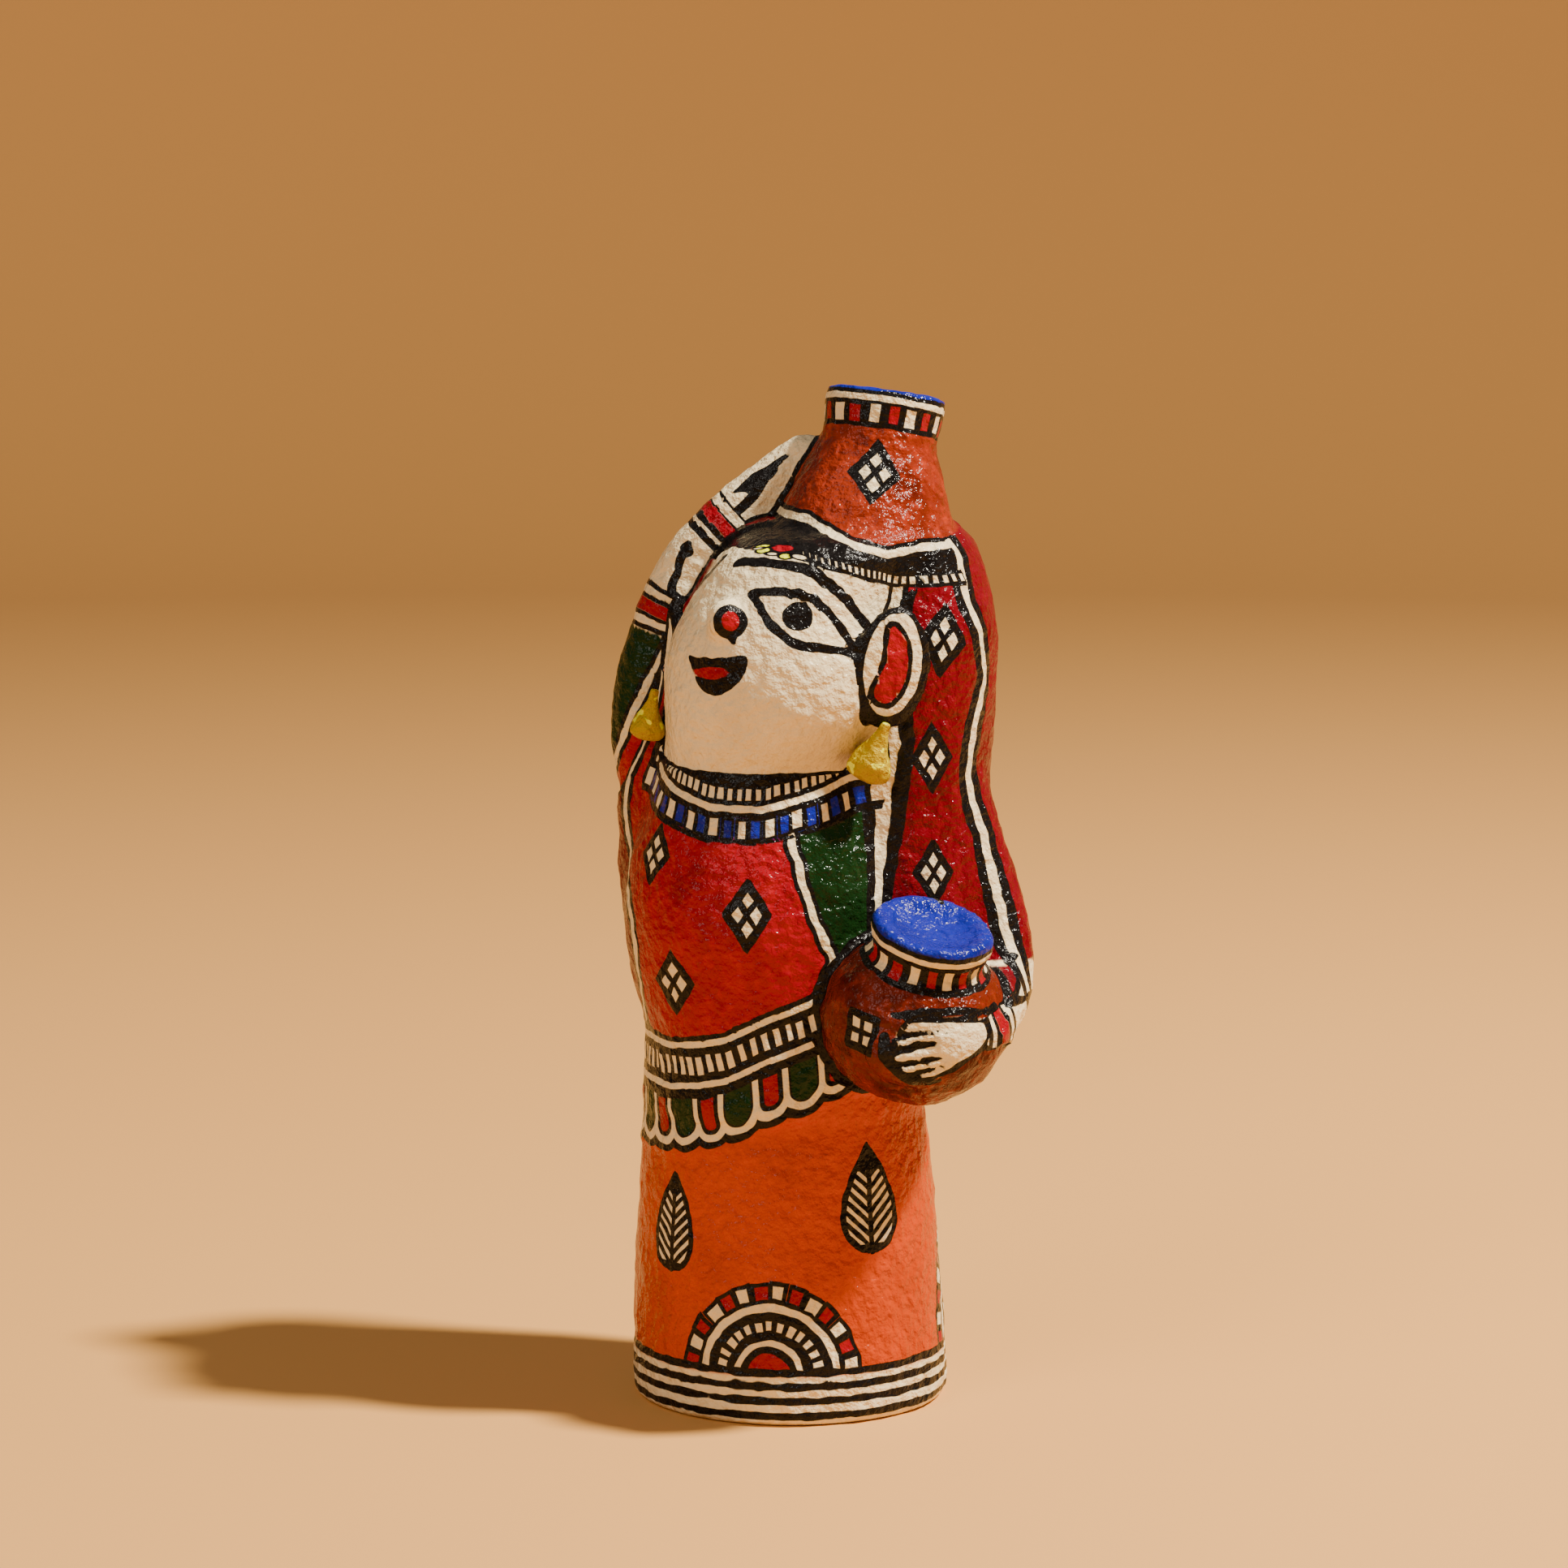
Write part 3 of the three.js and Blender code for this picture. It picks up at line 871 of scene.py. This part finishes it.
# Masks: above zero where a part's bands stop.
masks = {
    "offBody": [crease["body"]],
    "offFront": [
        crease["body"],
        (bodyTurn - byHeight(cloakEdge)) * bodyDegree,
        (necklace["end"] - neckTurn) * neckDegree,
        (farSide - bodyTurn) * bodyDegree,
    ],
    "offHair": [
        -crease["rightArm"],
        -crease["ears"],
        (hair["from"] - bodyTurn) * hairDegree,
        (bodyTurn - hair["to"]) * hairDegree,
        hair["above"] - height,
        abovePot + 1,
    ],
    "offArm": [crease["rightArm"]],
    "offWrist": [forearm - 0.3, -0.5 - hand, height - wristTop],
}
aboveBands = onBody & (aboveHem > hemBands["cap"][1])
paintFields = {
    "ink": ink,
    "cream": cream,
    "heavy": heavy,
    "mottle": mottle,
    "aboveHem": aboveHem,
    "belowNeck": belowNeck,
    "aboveHair": aboveHair,
    "headPotRise": rimRise("headPot"),
    "armPotRise": rimRise("armPot"),
    "reach": rightReach,
    "bangles": bangles,
    "tint": tint,
    "diamond": motifs(diamonds, diamondReach, aboveBands | onPots["headPot"] | onPots["armPot"]),
    "leaf": motifs(leaves, leafReach, onBody & (aboveHem < -1)),
    "rosette": rosetteField(),
    "flower": flowerField(),
    **{name: np.max(fields, axis=0) for name, fields in masks.items()},
}

# The shawl stands a little proud of the skirt, and the fingers of each other.
raised = {"shawl": 0.8, "fingers": 0.7}
step = raised["shawl"] * np.clip(aboveHem / 1.5 + 0.5, 0, 1) * onBody * (height > 20)
dent = raised["fingers"] * np.clip(0.5 - gaps / 1.2, 0, 1) * np.clip(0.5 - hand / 2, 0, 1)
vertices = vertices + normals * (step - dent)[:, None]
print("paint laid out")

pulp = {
    "coarse": 0.8, "coarseSize": 11.0, "coarseSeed": 3.7, "fine": 0.42, "fineSize": 3.6, "fineSeed": 8.1,
    "flatBelow": 1.6,
}


def bareMesh(name, points, faces):
    mesh = bpy.data.meshes.new(name)
    mesh.from_pydata((points / metre).tolist(), [], faces)
    mesh.update()
    return mesh


def storeField(mesh, name, values):
    values = np.asarray(values, np.float32)
    if values.ndim == 1:
        mesh.attributes.new(name, "FLOAT", "POINT").data.foreach_set("value", values)
    else:
        mesh.attributes.new(name, "FLOAT_VECTOR", "POINT").data.foreach_set("vector", values.ravel())


# A tree that roughens a skin along its normals the way paper pulp dries, and keeps the foot flat.
def pulpTree(material):
    tree = bpy.data.node_groups.new("dried pulp", "GeometryNodeTree")
    tree.interface.new_socket("Geometry", in_out="INPUT", socket_type="NodeSocketGeometry")
    for name in ("Coarse", "Coarse size", "Fine", "Fine size", "Flat below"):
        tree.interface.new_socket(name, in_out="INPUT", socket_type="NodeSocketFloat")
    tree.interface.new_socket("Geometry", in_out="OUTPUT", socket_type="NodeSocketGeometry")
    tree.is_modifier = True

    def node(kind, settings=(), values=(), out=0):
        made = tree.nodes.new(kind)
        for name, value in dict(settings).items():
            setattr(made, name, value)
        for socket, value in dict(values).items():
            if isinstance(value, bpy.types.NodeSocket):
                tree.links.new(value, made.inputs[socket])
            else:
                made.inputs[socket].default_value = value
        return made.outputs[out]

    def maths(operation, *values):
        return node("ShaderNodeMath", {"operation": operation}, enumerate(values))

    group = tree.nodes.new("NodeGroupInput")
    place = node("GeometryNodeInputPosition")

    def grain(amount, size, seed):
        scale = maths("DIVIDE", 1.0, size)
        values = {"Vector": place, "W": seed, "Scale": scale, "Detail": 2.0}
        noise = node("ShaderNodeTexNoise", {"noise_dimensions": "4D"}, values)
        return maths("MULTIPLY", maths("SUBTRACT", noise, 0.5), maths("MULTIPLY", amount, 2.2))

    coarse = grain(group.outputs["Coarse"], group.outputs["Coarse size"], pulp["coarseSeed"])
    fine = grain(group.outputs["Fine"], group.outputs["Fine size"], pulp["fineSeed"])
    relief = maths("ADD", coarse, fine)
    z = node("ShaderNodeSeparateXYZ", (), {0: place}, 2)
    span = {"Value": z, "From Min": 0.0, "From Max": group.outputs["Flat below"]}
    free = node("ShaderNodeMapRange", {"interpolation_type": "SMOOTHSTEP"}, span)
    amount = maths("MULTIPLY", relief, free)
    normal = node("GeometryNodeInputNormal")
    push = node("ShaderNodeVectorMath", {"operation": "SCALE"}, {0: normal, "Scale": amount})
    moved = node("GeometryNodeSetPosition", (), {"Geometry": group.outputs["Geometry"], "Offset": push})
    whole = node("GeometryNodeRealizeInstances", (), {"Geometry": moved})
    painted = node("GeometryNodeSetMaterial", (), {"Geometry": whole, "Material": material})
    tree.links.new(painted, tree.nodes.new("NodeGroupOutput").inputs[0])
    return tree


# Runs the tree on a mesh and gives back a plain object with the result.
def withPulp(name, mesh, material, scale=1.0):
    rough = bpy.data.objects.new(name + " smooth", mesh)
    bpy.context.scene.collection.objects.link(rough)
    modifier = rough.modifiers.new("dried pulp", "NODES")
    tree = modifier.node_group = pulpTree(material)
    sizes = {
        "Coarse": pulp["coarse"] * scale,
        "Coarse size": pulp["coarseSize"] * scale,
        "Fine": pulp["fine"] * scale,
        "Fine size": pulp["fineSize"],
        "Flat below": pulp["flatBelow"],
    }
    for socket in tree.interface.items_tree:
        if socket.in_out == "INPUT" and socket.name in sizes:
            modifier[socket.identifier] = sizes[socket.name] / metre
    made = bpy.data.meshes.new_from_object(rough.evaluated_get(bpy.context.evaluated_depsgraph_get()))
    bpy.data.objects.remove(rough)
    made.name = name
    made.shade_smooth()
    piece = bpy.data.objects.new(name, made)
    bpy.context.scene.collection.objects.link(piece)
    return piece


# Brings a piece exactly into a box, by moving and stretching it by a hair.
def fitInto(piece, low, high):
    mesh = piece.data
    points = np.empty(len(mesh.vertices) * 3, np.float32)
    mesh.vertices.foreach_get("co", points)
    points = points.reshape(-1, 3)
    least, most = points.min(axis=0), points.max(axis=0)
    low, high = np.array(low), np.array(high)
    newLeast, newMost = np.maximum(least, low), np.minimum(most, high)
    points = newLeast + (points - least) / (most - least) * (newMost - newLeast)
    mesh.vertices.foreach_set("co", points.ravel().astype(np.float32))
    mesh.update()


varnish = {"bump": 0.0014, "gloss": 0.16, "rough": 0.20}


# A shader socket that can stand in a sum.
class Wire:
    def __init__(self, recipe, socket):
        self.recipe = recipe
        self.socket = socket

    def maths(self, operation, *values, clamp=False):
        settings = {"operation": operation, "use_clamp": clamp}
        return self.recipe.node("ShaderNodeMath", settings, dict(enumerate(values)))

    def __add__(self, other):
        return self.maths("ADD", self, other)

    def __radd__(self, other):
        return self.maths("ADD", other, self)

    def __sub__(self, other):
        return self.maths("SUBTRACT", self, other)

    def __rsub__(self, other):
        return self.maths("SUBTRACT", other, self)

    def __mul__(self, other):
        return self.maths("MULTIPLY", self, other)

    def __rmul__(self, other):
        return self.maths("MULTIPLY", other, self)

    def __truediv__(self, other):
        return self.maths("DIVIDE", self, other)

    def __abs__(self):
        return self.maths("ABSOLUTE", self)

    def floor(self):
        return self.maths("FLOOR", self)

    def least(self, *others):
        result = self
        for other in others:
            result = result.maths("MINIMUM", result, other)
        return result

    def most(self, *others):
        result = self
        for other in others:
            result = result.maths("MAXIMUM", result, other)
        return result

    def rootOfSquares(self, other):
        return self.maths("SQRT", self * self + other * other)


class Recipe:
    def __init__(self, name):
        self.material = bpy.data.materials.new(name)
        self.material.use_nodes = True
        self.tree = self.material.node_tree
        self.tree.nodes.clear()

    # One node: its settings first, then the values or wires of its sockets.
    def node(self, kind, settings=(), values=(), out=0):
        made = self.tree.nodes.new(kind)
        for name, value in dict(settings).items():
            setattr(made, name, value)
        for socket, value in dict(values).items():
            if isinstance(value, Wire):
                self.tree.links.new(value.socket, made.inputs[socket])
            else:
                made.inputs[socket].default_value = value
        return Wire(self, made.outputs[out]) if made.outputs else None

    def stored(self, name, out=2):
        return self.node("ShaderNodeAttribute", {"attribute_name": name}, out=out)

    def split(self, vector):
        return [self.node("ShaderNodeSeparateXYZ", values={0: vector}, out=k) for k in range(3)]

    def noise(self, size, vector, detail=1.0):
        return self.node("ShaderNodeTexNoise", values={"Vector": vector, "Scale": 1 / size, "Detail": detail})

    # 1 inside a mark and 0 outside.
    def inside(self, field, soft=0.16):
        return field.maths("MULTIPLY_ADD", field, -1 / soft, 0.5, clamp=True)

    def blend(self, share, under, over, mode="MIX"):
        settings = {"data_type": "RGBA", "blend_type": mode}
        under, over = [c if isinstance(c, Wire) else (*c, 1) for c in (under, over)]
        return self.node("ShaderNodeMix", settings, {0: share, 6: under, 7: over}, out=2)

    # Every cell of an even ring: its own random share, and how far the point is from its middle, in cells.
    def cell(self, turn, count, shift=0.0):
        place = turn * (count / 360) + shift
        nearest = (place + 0.5).floor()
        chance = self.node("ShaderNodeTexWhiteNoise", {"noise_dimensions": "1D"}, {"W": nearest + 0.31})
        return place - nearest, chance, nearest

    # Signed distance of small painted blocks round a ring, in millimetres.
    def ticks(self, turn, rise, count, pitch, halfWide, halfTall, slant=0.0, shift=0.0):
        off, chance, nearest = self.cell(turn + rise * slant, count, shift)
        across = abs(off * pitch + (chance - 0.5) * (pitch * 0.16))
        up = abs(rise + (chance - 0.5) * (halfTall * 0.35))
        box = (across - halfWide * 0.8 - chance * (halfWide * 0.4)).most(up - halfTall)
        return box, nearest

    # The place on the piece in millimetres.
    def millimetres(self):
        place = self.node("ShaderNodeTexCoord", out=3)
        return self.node("ShaderNodeVectorMath", {"operation": "SCALE"}, {0: place, "Scale": metre})

    def finish(self, colour, rough, height):
        bump = self.node("ShaderNodeBump", values={"Distance": varnish["bump"], "Height": height})
        values = {"Base Color": colour, "Roughness": rough, "Normal": bump}
        values["Specular IOR Level"] = varnish["gloss"]
        surface = self.node("ShaderNodeBsdfPrincipled", values=values)
        self.node("ShaderNodeOutputMaterial", values={"Surface": surface})
        return self.material


# Rows of painted blocks: how many go round, and their spacing and half sizes in millimetres.
rows = {
    "hem": {"count": 78, "pitch": 2.85, "halfWide": 0.72, "halfTall": 2.2, "slant": 0.35},
    "neck": {"count": 72, "pitch": 2.55, "halfWide": 0.72, "halfTall": 1.3},
    "beads": {"count": 52, "pitch": 3.6, "halfWide": 1.1, "halfTall": 2.0},
    "hair": {"count": 110, "pitch": 2.2, "halfWide": 0.5, "halfTall": 0.85},
    "pot": {"count": 20, "pitch": 4.55, "halfWide": 1.35, "halfTall": 2.1},
    "rosetteBeads": {"count": 28, "pitch": 4.6, "halfWide": 1.45, "halfTall": 1.6, "shift": 0.5},
    "rosetteTicks": {"count": 28, "pitch": 2.7, "halfWide": 0.75, "halfTall": 1.15},
}
tongue = {
    "count": 14,
    "pitch": 16.2,
    "start": 14 / 25.714,  # 14 degrees, in cells
    "red": {"shift": 0.0, "halfWide": 1.75, "middle": 7.4},
    "green": {"shift": 0.5, "halfWide": 3.15, "middle": 8.0},
}


def paintedPaper():
    r = Recipe("painted paper")
    place = r.millimetres()
    x, y, z = r.split(place)
    wobble = (r.noise(4.5, place, 1.6) - 0.5) * 1.7

    def turnAbout(centreX, centreY, front=0.0):
        return (x - centreX).maths("ARCTAN2", x - centreX, centreY - y) * (180 / math.pi) - front

    def potAngle(pot):
        side, cross, _ = turnedAxes(pot["lean"])
        along = []
        for axis in (side, cross):
            reach = r.node("ShaderNodeVectorMath", {"operation": "DOT_PRODUCT"}, {0: place, 1: axis}, out=1)
            along.append(reach - float(axis @ pot["foot"]))
        return x.maths("ARCTAN2", along[0], along[1] * -1) * (180 / math.pi)

    bodyTurn = turnAbout(0, 0)
    neckTurn = turnAbout(-5, -4)

    # Flat paint, a little uneven in thickness and shade.
    patchy = r.noise(13, place, 3.0)
    brushed = r.noise(2.6, place, 1.0)
    colour = r.stored("tint", 0)
    mottle = r.stored("mottle")
    deeper = r.blend(1.0, colour, (0.40, 0.35, 0.40), "MULTIPLY")
    lighter = r.blend(1.0, colour, (1.5, 1.4, 1.2), "MULTIPLY")
    colour = r.blend(((0.53 - patchy) * 5.0).most(0.0) * mottle, colour, deeper)
    colour = r.blend(((brushed - 0.50) * 4.0).most(0.0) * mottle, colour, lighter)

    # A paint that goes from one strength to another of its colour.
    def uneven(name, share, under, over):
        return r.blend(share, tuple(under * c for c in colours[name]), tuple(over * c for c in colours[name]))

    ink, yellow = colours["ink"], colours["yellow"]
    bone = uneven("cream", brushed, 0.86, 1.08)
    red = uneven("red", patchy, 1.15, 0.7)
    green = uneven("green", brushed, 1.5, 0.6)
    blue = uneven("blue", brushed, 1.4, 0.7)

    def over(mark, paint, soft=0.16):
        return r.blend(r.inside(mark, soft), colour, paint)

    # A stored field, pushed clear of every band where its mask is above zero.
    def masked(name, mask):
        off = r.stored(mask)
        pushed = 1000
        return r.stored(name) + off.maths("GREATER_THAN", off, 0.0) * pushed

    # 0 and 1 in turn along a row of blocks.
    def everyOther(number):
        return number - (number * 0.5).floor() * 2

    line = r.stored("cream") + wobble * 0.75
    colour = over(line - 1.2 - r.stored("heavy"), ink)
    colour = over(line, bone)

    # The shawl's scalloped hem: red and green tongues on ink, edged with cream.
    hem = masked("aboveHem", "offBody")
    rise = hem + wobble * 0.8

    def tongues(shift, halfWide, middle):
        off, chance, _ = r.cell(bodyTurn + (rise - 8) * 0.12, tongue["count"], tongue["start"] + shift)
        drop = (rise - middle + (chance - 0.5) * 1.3).least(0.0)
        return (off * tongue["pitch"]).rootOfSquares(drop) - halfWide

    redTongue, greenTongue = tongues(**tongue["red"]), tongues(**tongue["green"])
    below = rise - 15.6
    colour = over((redTongue - 4.9).least(greenTongue - 4.4).most(below), ink)
    colour = over((redTongue - 3.1).least(greenTongue - 2.5).most(below), bone)
    colour = over((redTongue - 1.2).least(greenTongue - 0.55).most(below), ink)
    colour = over((rise - 13.9).most(redTongue), red)
    colour = over((rise - 14.4).most(greenTongue), green)
    colour = over(abs(rise - hemBands["tongues"]) - 1.1, ink)

    # Diamonds, leaves and the half-round rosettes on the skirt.
    a, b, mark = r.split(r.stored("diamond", 1))
    cells = abs(abs(a) - 0.18).most(abs(abs(b) - 0.18)) - 0.112
    colour = over(mark + wobble * 0.8, ink)
    colour = over((cells * 11 + wobble * 0.7).most(mark + 0.9), bone)

    a, b, mark = r.split(r.stored("leaf", 1))
    pitch, slope = 2.9, 0.95
    slash = (b - abs(a) * slope) / pitch
    slash = abs(slash - (slash + 0.5).floor()) * pitch - 0.62
    colour = over(mark + wobble * 0.8, ink)
    colour = over((slash + wobble * 0.5).most(0.75 - abs(a), mark + 1.6, 2.6 - b, b - 20.5), bone)

    r0, turn, mark = r.split(r.stored("rosette", 1))
    radius = r0 + wobble * 0.8
    ring = rosettes["rings"]
    beads, bead = r.ticks(turn, radius - ring["beads"], **rows["rosetteBeads"])
    isCream = everyOther(bead)
    small, _ = r.ticks(turn, radius - ring["ticks"], **rows["rosetteTicks"])
    colour = over((radius - ring["inkEdge"]).least(beads - 1.2), ink)
    colour = over(beads, r.blend(isCream, red, bone))
    colour = over(abs(radius - ring["outerLine"]) - 0.95, bone)
    colour = over(small, bone)
    colour = over(abs(radius - ring["innerLine"]) - 0.75, bone)
    colour = over(radius - ring["core"], red)

    # Ink on top of everything, and the blocks that are left pale on it.
    colour = over(r.stored("ink") + wobble * 0.7, ink)
    hemTicks, _ = r.ticks(bodyTurn, hem - hemBands["ticks"], **rows["hem"])
    colour = over(hemTicks + wobble * 0.4, bone)
    drop = masked("belowNeck", "offFront")
    neckTicks, _ = r.ticks(neckTurn, drop - necklace["ticks"], **rows["neck"])
    colour = over(neckTicks + wobble * 0.4, bone)
    onBeads = drop - necklace["beadLine"]
    beads, bead = r.ticks(neckTurn, onBeads, **rows["beads"])
    isCream = everyOther(bead)
    colour = over((beads - 0.9).most(abs(onBeads) - 2.8), ink)
    colour = over(beads + wobble * 0.4, r.blend(isCream, blue, bone))
    hairTicks, _ = r.ticks(bodyTurn, masked("aboveHair", "offHair") - 1.7, **rows["hair"])
    colour = over((hairTicks + ((55 - bodyTurn) / 30).least(1.0).most(0.0) * 0.45).most(26 - bodyTurn), bone)

    # Red and cream blocks below each pot's mouth.
    for pot, name, start in ((headPot, "headPot", 6), (armPot, "armPot", 3)):
        rise = r.stored(name + "Rise") - rims[name]["cells"]
        blocks, block = r.ticks(potAngle(pot), rise, **rows["pot"], shift=-start / 18)
        isRed = everyOther(block)
        colour = over(blocks + wobble * 0.4, r.blend(isRed, bone, red))

    # The flower at the parting.
    u, v, _ = r.split(r.stored("flower", 1))
    petals = [
        (0.3, 0.2, 2.9, 1.15, red), (-4.6, -1.0, 1.7, 0.75, yellow), (2.3, -2.6, 1.5, 0.7, yellow),
        (-5.6, 0.7, 1.8, 0.4, yellow), (-1.6, -2.1, 1.2, 0.4, bone), (6.0, -2.2, 1.7, 0.6, bone),
        (-6.6, -0.1, 1.2, 0.3, bone),
    ]
    for middleX, middleY, halfX, halfY, paint in petals:
        petal = ((u - middleX) / halfX).rootOfSquares((v - middleY) / halfY) * halfY - halfY
        colour = over(petal - 0.45, ink)
        colour = over(petal, paint)

    # Bangles and the armlet, painted as rings along each arm.
    def rings(along, start, spaces):
        nonlocal colour
        for paint, width in spaces:
            colour = over(abs(along - start - width / 2) - width / 2, {"k": ink, "c": bone, "r": red}[paint])
            start += width

    # Each ring's paint, k for ink, c for cream and r for red, and its width in millimetres.
    armlet = [("k", 1.3), ("c", 1.5), ("k", 1.1), ("r", 3.0), ("k", 1.1), ("c", 1.5), ("k", 1.3)]
    reach = masked("reach", "offArm") + wobble * 0.5
    rings(reach, sleeveEnd, armlet)
    rings(reach, upperArmlet, armlet)
    wristband = [("k", 1.6), ("c", 1.5), ("k", 1.3), ("r", 3.4), ("k", 1.3), ("c", 1.6), ("k", 1.2)]
    rings(masked("bangles", "offWrist") + wobble * 0.3, wrist["first"], wristband)

    height = r.noise(2.4, place, 3.0)
    rough = varnish["rough"] + (patchy - 0.5) * 0.3 + (brushed - 0.5) * 0.3
    return r.finish(colour, rough, height)


def yellowPaint():
    r = Recipe("yellow paint")
    place = r.millimetres()
    patchy = r.noise(4, place, 2.0)
    colour = r.blend(patchy, colours["yellow"], tuple(0.8 * c for c in colours["yellow"]))
    colour = r.blend(r.inside(0.36 - r.noise(2.5, place), 0.06), colour, (0.42, 0.30, 0.0))
    height = r.noise(1.6, place, 3.0)
    return r.finish(colour, 0.3 + patchy * 0.2, height)


paperFinish = paintedPaper()
yellowFinish = yellowPaint()
mesh = bareMesh("figure skin", vertices, quads.tolist())
for name, values in paintFields.items():
    storeField(mesh, name, values)
figure = withPulp("paintedFigure", mesh, paperFinish)
fitInto(figure, *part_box("figure"))
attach(figure, "root")
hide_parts("figure")
print("figure:", len(figure.data.vertices), "points")

# Each is a dented drop of pulp: (radius, height below the hook) down its outline.
drop = [(0, -0.4), (1.2, -0.7), (1.7, -3.3), (3.2, -7.4), (5.0, -11.3), (4.8, -14.3), (2.5, -15.8), (0, -16)]
hangs = {
    "earring_left": {"top": (31.4, -20.6, 172.1), "turn": 24, "tilt": 8, "size": 1.0},
    "earring_right": {"top": (-31.7, -11.6, 176.9), "turn": 14, "tilt": 4, "size": 0.84},
}


def dropMesh(around=40, steps=9):
    outline = smoothLine([(*place, 0) for place in drop], steps)[:, :2]
    outline[:, 0] = np.maximum(outline[:, 0], 0)
    ringed = outline[1:-1]
    turns = np.arange(around) * (2 * math.pi / around)
    radius, z = ringed[:, :1], ringed[:, 1:]
    radius = radius * (1 + 0.07 * np.sin(2 * turns + z * 0.35) + 0.04 * np.sin(3 * turns - z * 0.6))
    points = np.stack([radius * np.cos(turns), radius * np.sin(turns), np.broadcast_to(z, radius.shape)], 2)
    points = np.vstack([points.reshape(-1, 3), (0, 0, outline[0, 1]), (0, 0, outline[-1, 1])])
    k = np.arange(around)
    after = (k + 1) % around
    faces = []
    for row in range(len(ringed) - 1):
        top, low = row * around, (row + 1) * around
        faces += np.stack([top + k, low + k, low + after, top + after], 1).tolist()
    first, last = len(points) - 2, len(points) - 1
    end = (len(ringed) - 1) * around
    faces += np.stack([np.full(around, first), k, after], 1).tolist()
    faces += np.stack([np.full(around, last), end + after, end + k], 1).tolist()
    return points, faces


for name, hang in hangs.items():
    points, faces = dropMesh()
    tilt, turn = math.radians(hang["tilt"]), math.radians(hang["turn"])
    tilted = np.array([[1, 0, 0], [0, math.cos(tilt), -math.sin(tilt)], [0, math.sin(tilt), math.cos(tilt)]])
    turned = np.array([[math.cos(turn), 0, math.sin(turn)], [0, 1, 0], [-math.sin(turn), 0, math.cos(turn)]])
    points = points * hang["size"] @ (turned @ tilted).T + hang["top"]
    earring = withPulp("hung_" + name, bareMesh(name + " drop", points, faces), yellowFinish, 0.6)
    fitInto(earring, *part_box(name))
    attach(earring, "root")
    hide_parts(name)
print("earrings hung")

studio = {
    "floor": (0.66, 0.325, 0.085),
    "flat": 2.2,
    "curve": 0.8,
    "aim": (-0.0022, 0.153),  # to the camera's right, and up
    "distance": 1.2,
    "azimuth": 20.0,
    "pitch": 7.5,
    "lens": 111.3,
    "litAt": (0, 0, 0.13),
    "room": {"colour": (1.0, 0.86, 0.70, 1), "strength": 0.16},
}
lamps = {
    "key light": {"place": (1.0, 0.147, 1.67), "size": 0.16, "watts": 108, "colour": (1.0, 0.93, 0.80)},
    "fill light": {"place": (-0.5, -1.5, 1.3), "size": 1.0, "watts": 14, "colour": (1.0, 0.94, 0.84)},
}


def plainFinish(name, colour, roughness):
    r = Recipe(name)
    surface = r.node("ShaderNodeBsdfPrincipled", values={"Base Color": (*colour, 1), "Roughness": roughness})
    r.node("ShaderNodeOutputMaterial", values={"Surface": surface})
    return r.material


# One plain sheet: flat under the figure, curving up far away on every side.
def floorSheet(around=96, rows=14):
    flat, curve = studio["flat"], studio["curve"]
    bends = [math.pi / 2 * k / rows for k in range(rows + 1)]
    outline = [(flat + curve * math.sin(b), curve * (1 - math.cos(b))) for b in bends]
    turns = [2 * math.pi * k / around for k in range(around)]
    points = [(0, 0, 0)] + [(r * math.cos(t), r * math.sin(t), z) for r, z in outline for t in turns]
    faces = [(0, 1 + k, 1 + (k + 1) % around) for k in range(around)]
    for row in range(len(outline) - 1):
        low, high = 1 + row * around, 1 + (row + 1) * around
        faces += [(low + k, high + k, high + (k + 1) % around, low + (k + 1) % around) for k in range(around)]
    mesh = bpy.data.meshes.new("floor")
    mesh.from_pydata(points, [], faces)
    mesh.shade_smooth()
    mesh.materials.append(plainFinish("plain floor", studio["floor"], 0.8))
    sheet = bpy.data.objects.new("floor", mesh)
    bpy.context.scene.collection.objects.link(sheet)


def aimed(thing, place, target):
    thing.location = place
    thing.rotation_mode = "QUATERNION"
    thing.rotation_quaternion = (Vector(target) - Vector(place)).to_track_quat("-Z", "Y")


def softLight(name, place, size, watts, colour):
    light = bpy.data.lights.new(name, "AREA")
    light.shape = "DISK"
    light.size = size
    light.energy = watts
    light.color = colour
    lamp = bpy.data.objects.new(name, light)
    bpy.context.scene.collection.objects.link(lamp)
    aimed(lamp, place, studio["litAt"])


floorSheet()
for name, lamp in lamps.items():
    softLight(name, **lamp)

world = bpy.data.worlds.new("room")
bpy.context.scene.world = world
world.use_nodes = True
backdrop = world.node_tree.nodes["Background"]
backdrop.inputs["Color"].default_value = studio["room"]["colour"]
backdrop.inputs["Strength"].default_value = studio["room"]["strength"]

camera = bpy.data.objects.new("camera", bpy.data.cameras.new("camera"))
bpy.context.scene.collection.objects.link(camera)
camera.data.lens = studio["lens"]
camera.data.clip_start, camera.data.clip_end = 0.05, 50
azimuth, pitch = math.radians(studio["azimuth"]), math.radians(studio["pitch"])
back = Vector((math.sin(azimuth) * math.cos(pitch), -math.cos(azimuth) * math.cos(pitch), math.sin(pitch)))
aside, rise = studio["aim"]
target = Vector((aside * math.cos(azimuth), aside * math.sin(azimuth), rise))
aimed(camera, target + back * studio["distance"], target)
bpy.context.scene.camera = camera
print("lights and camera set")
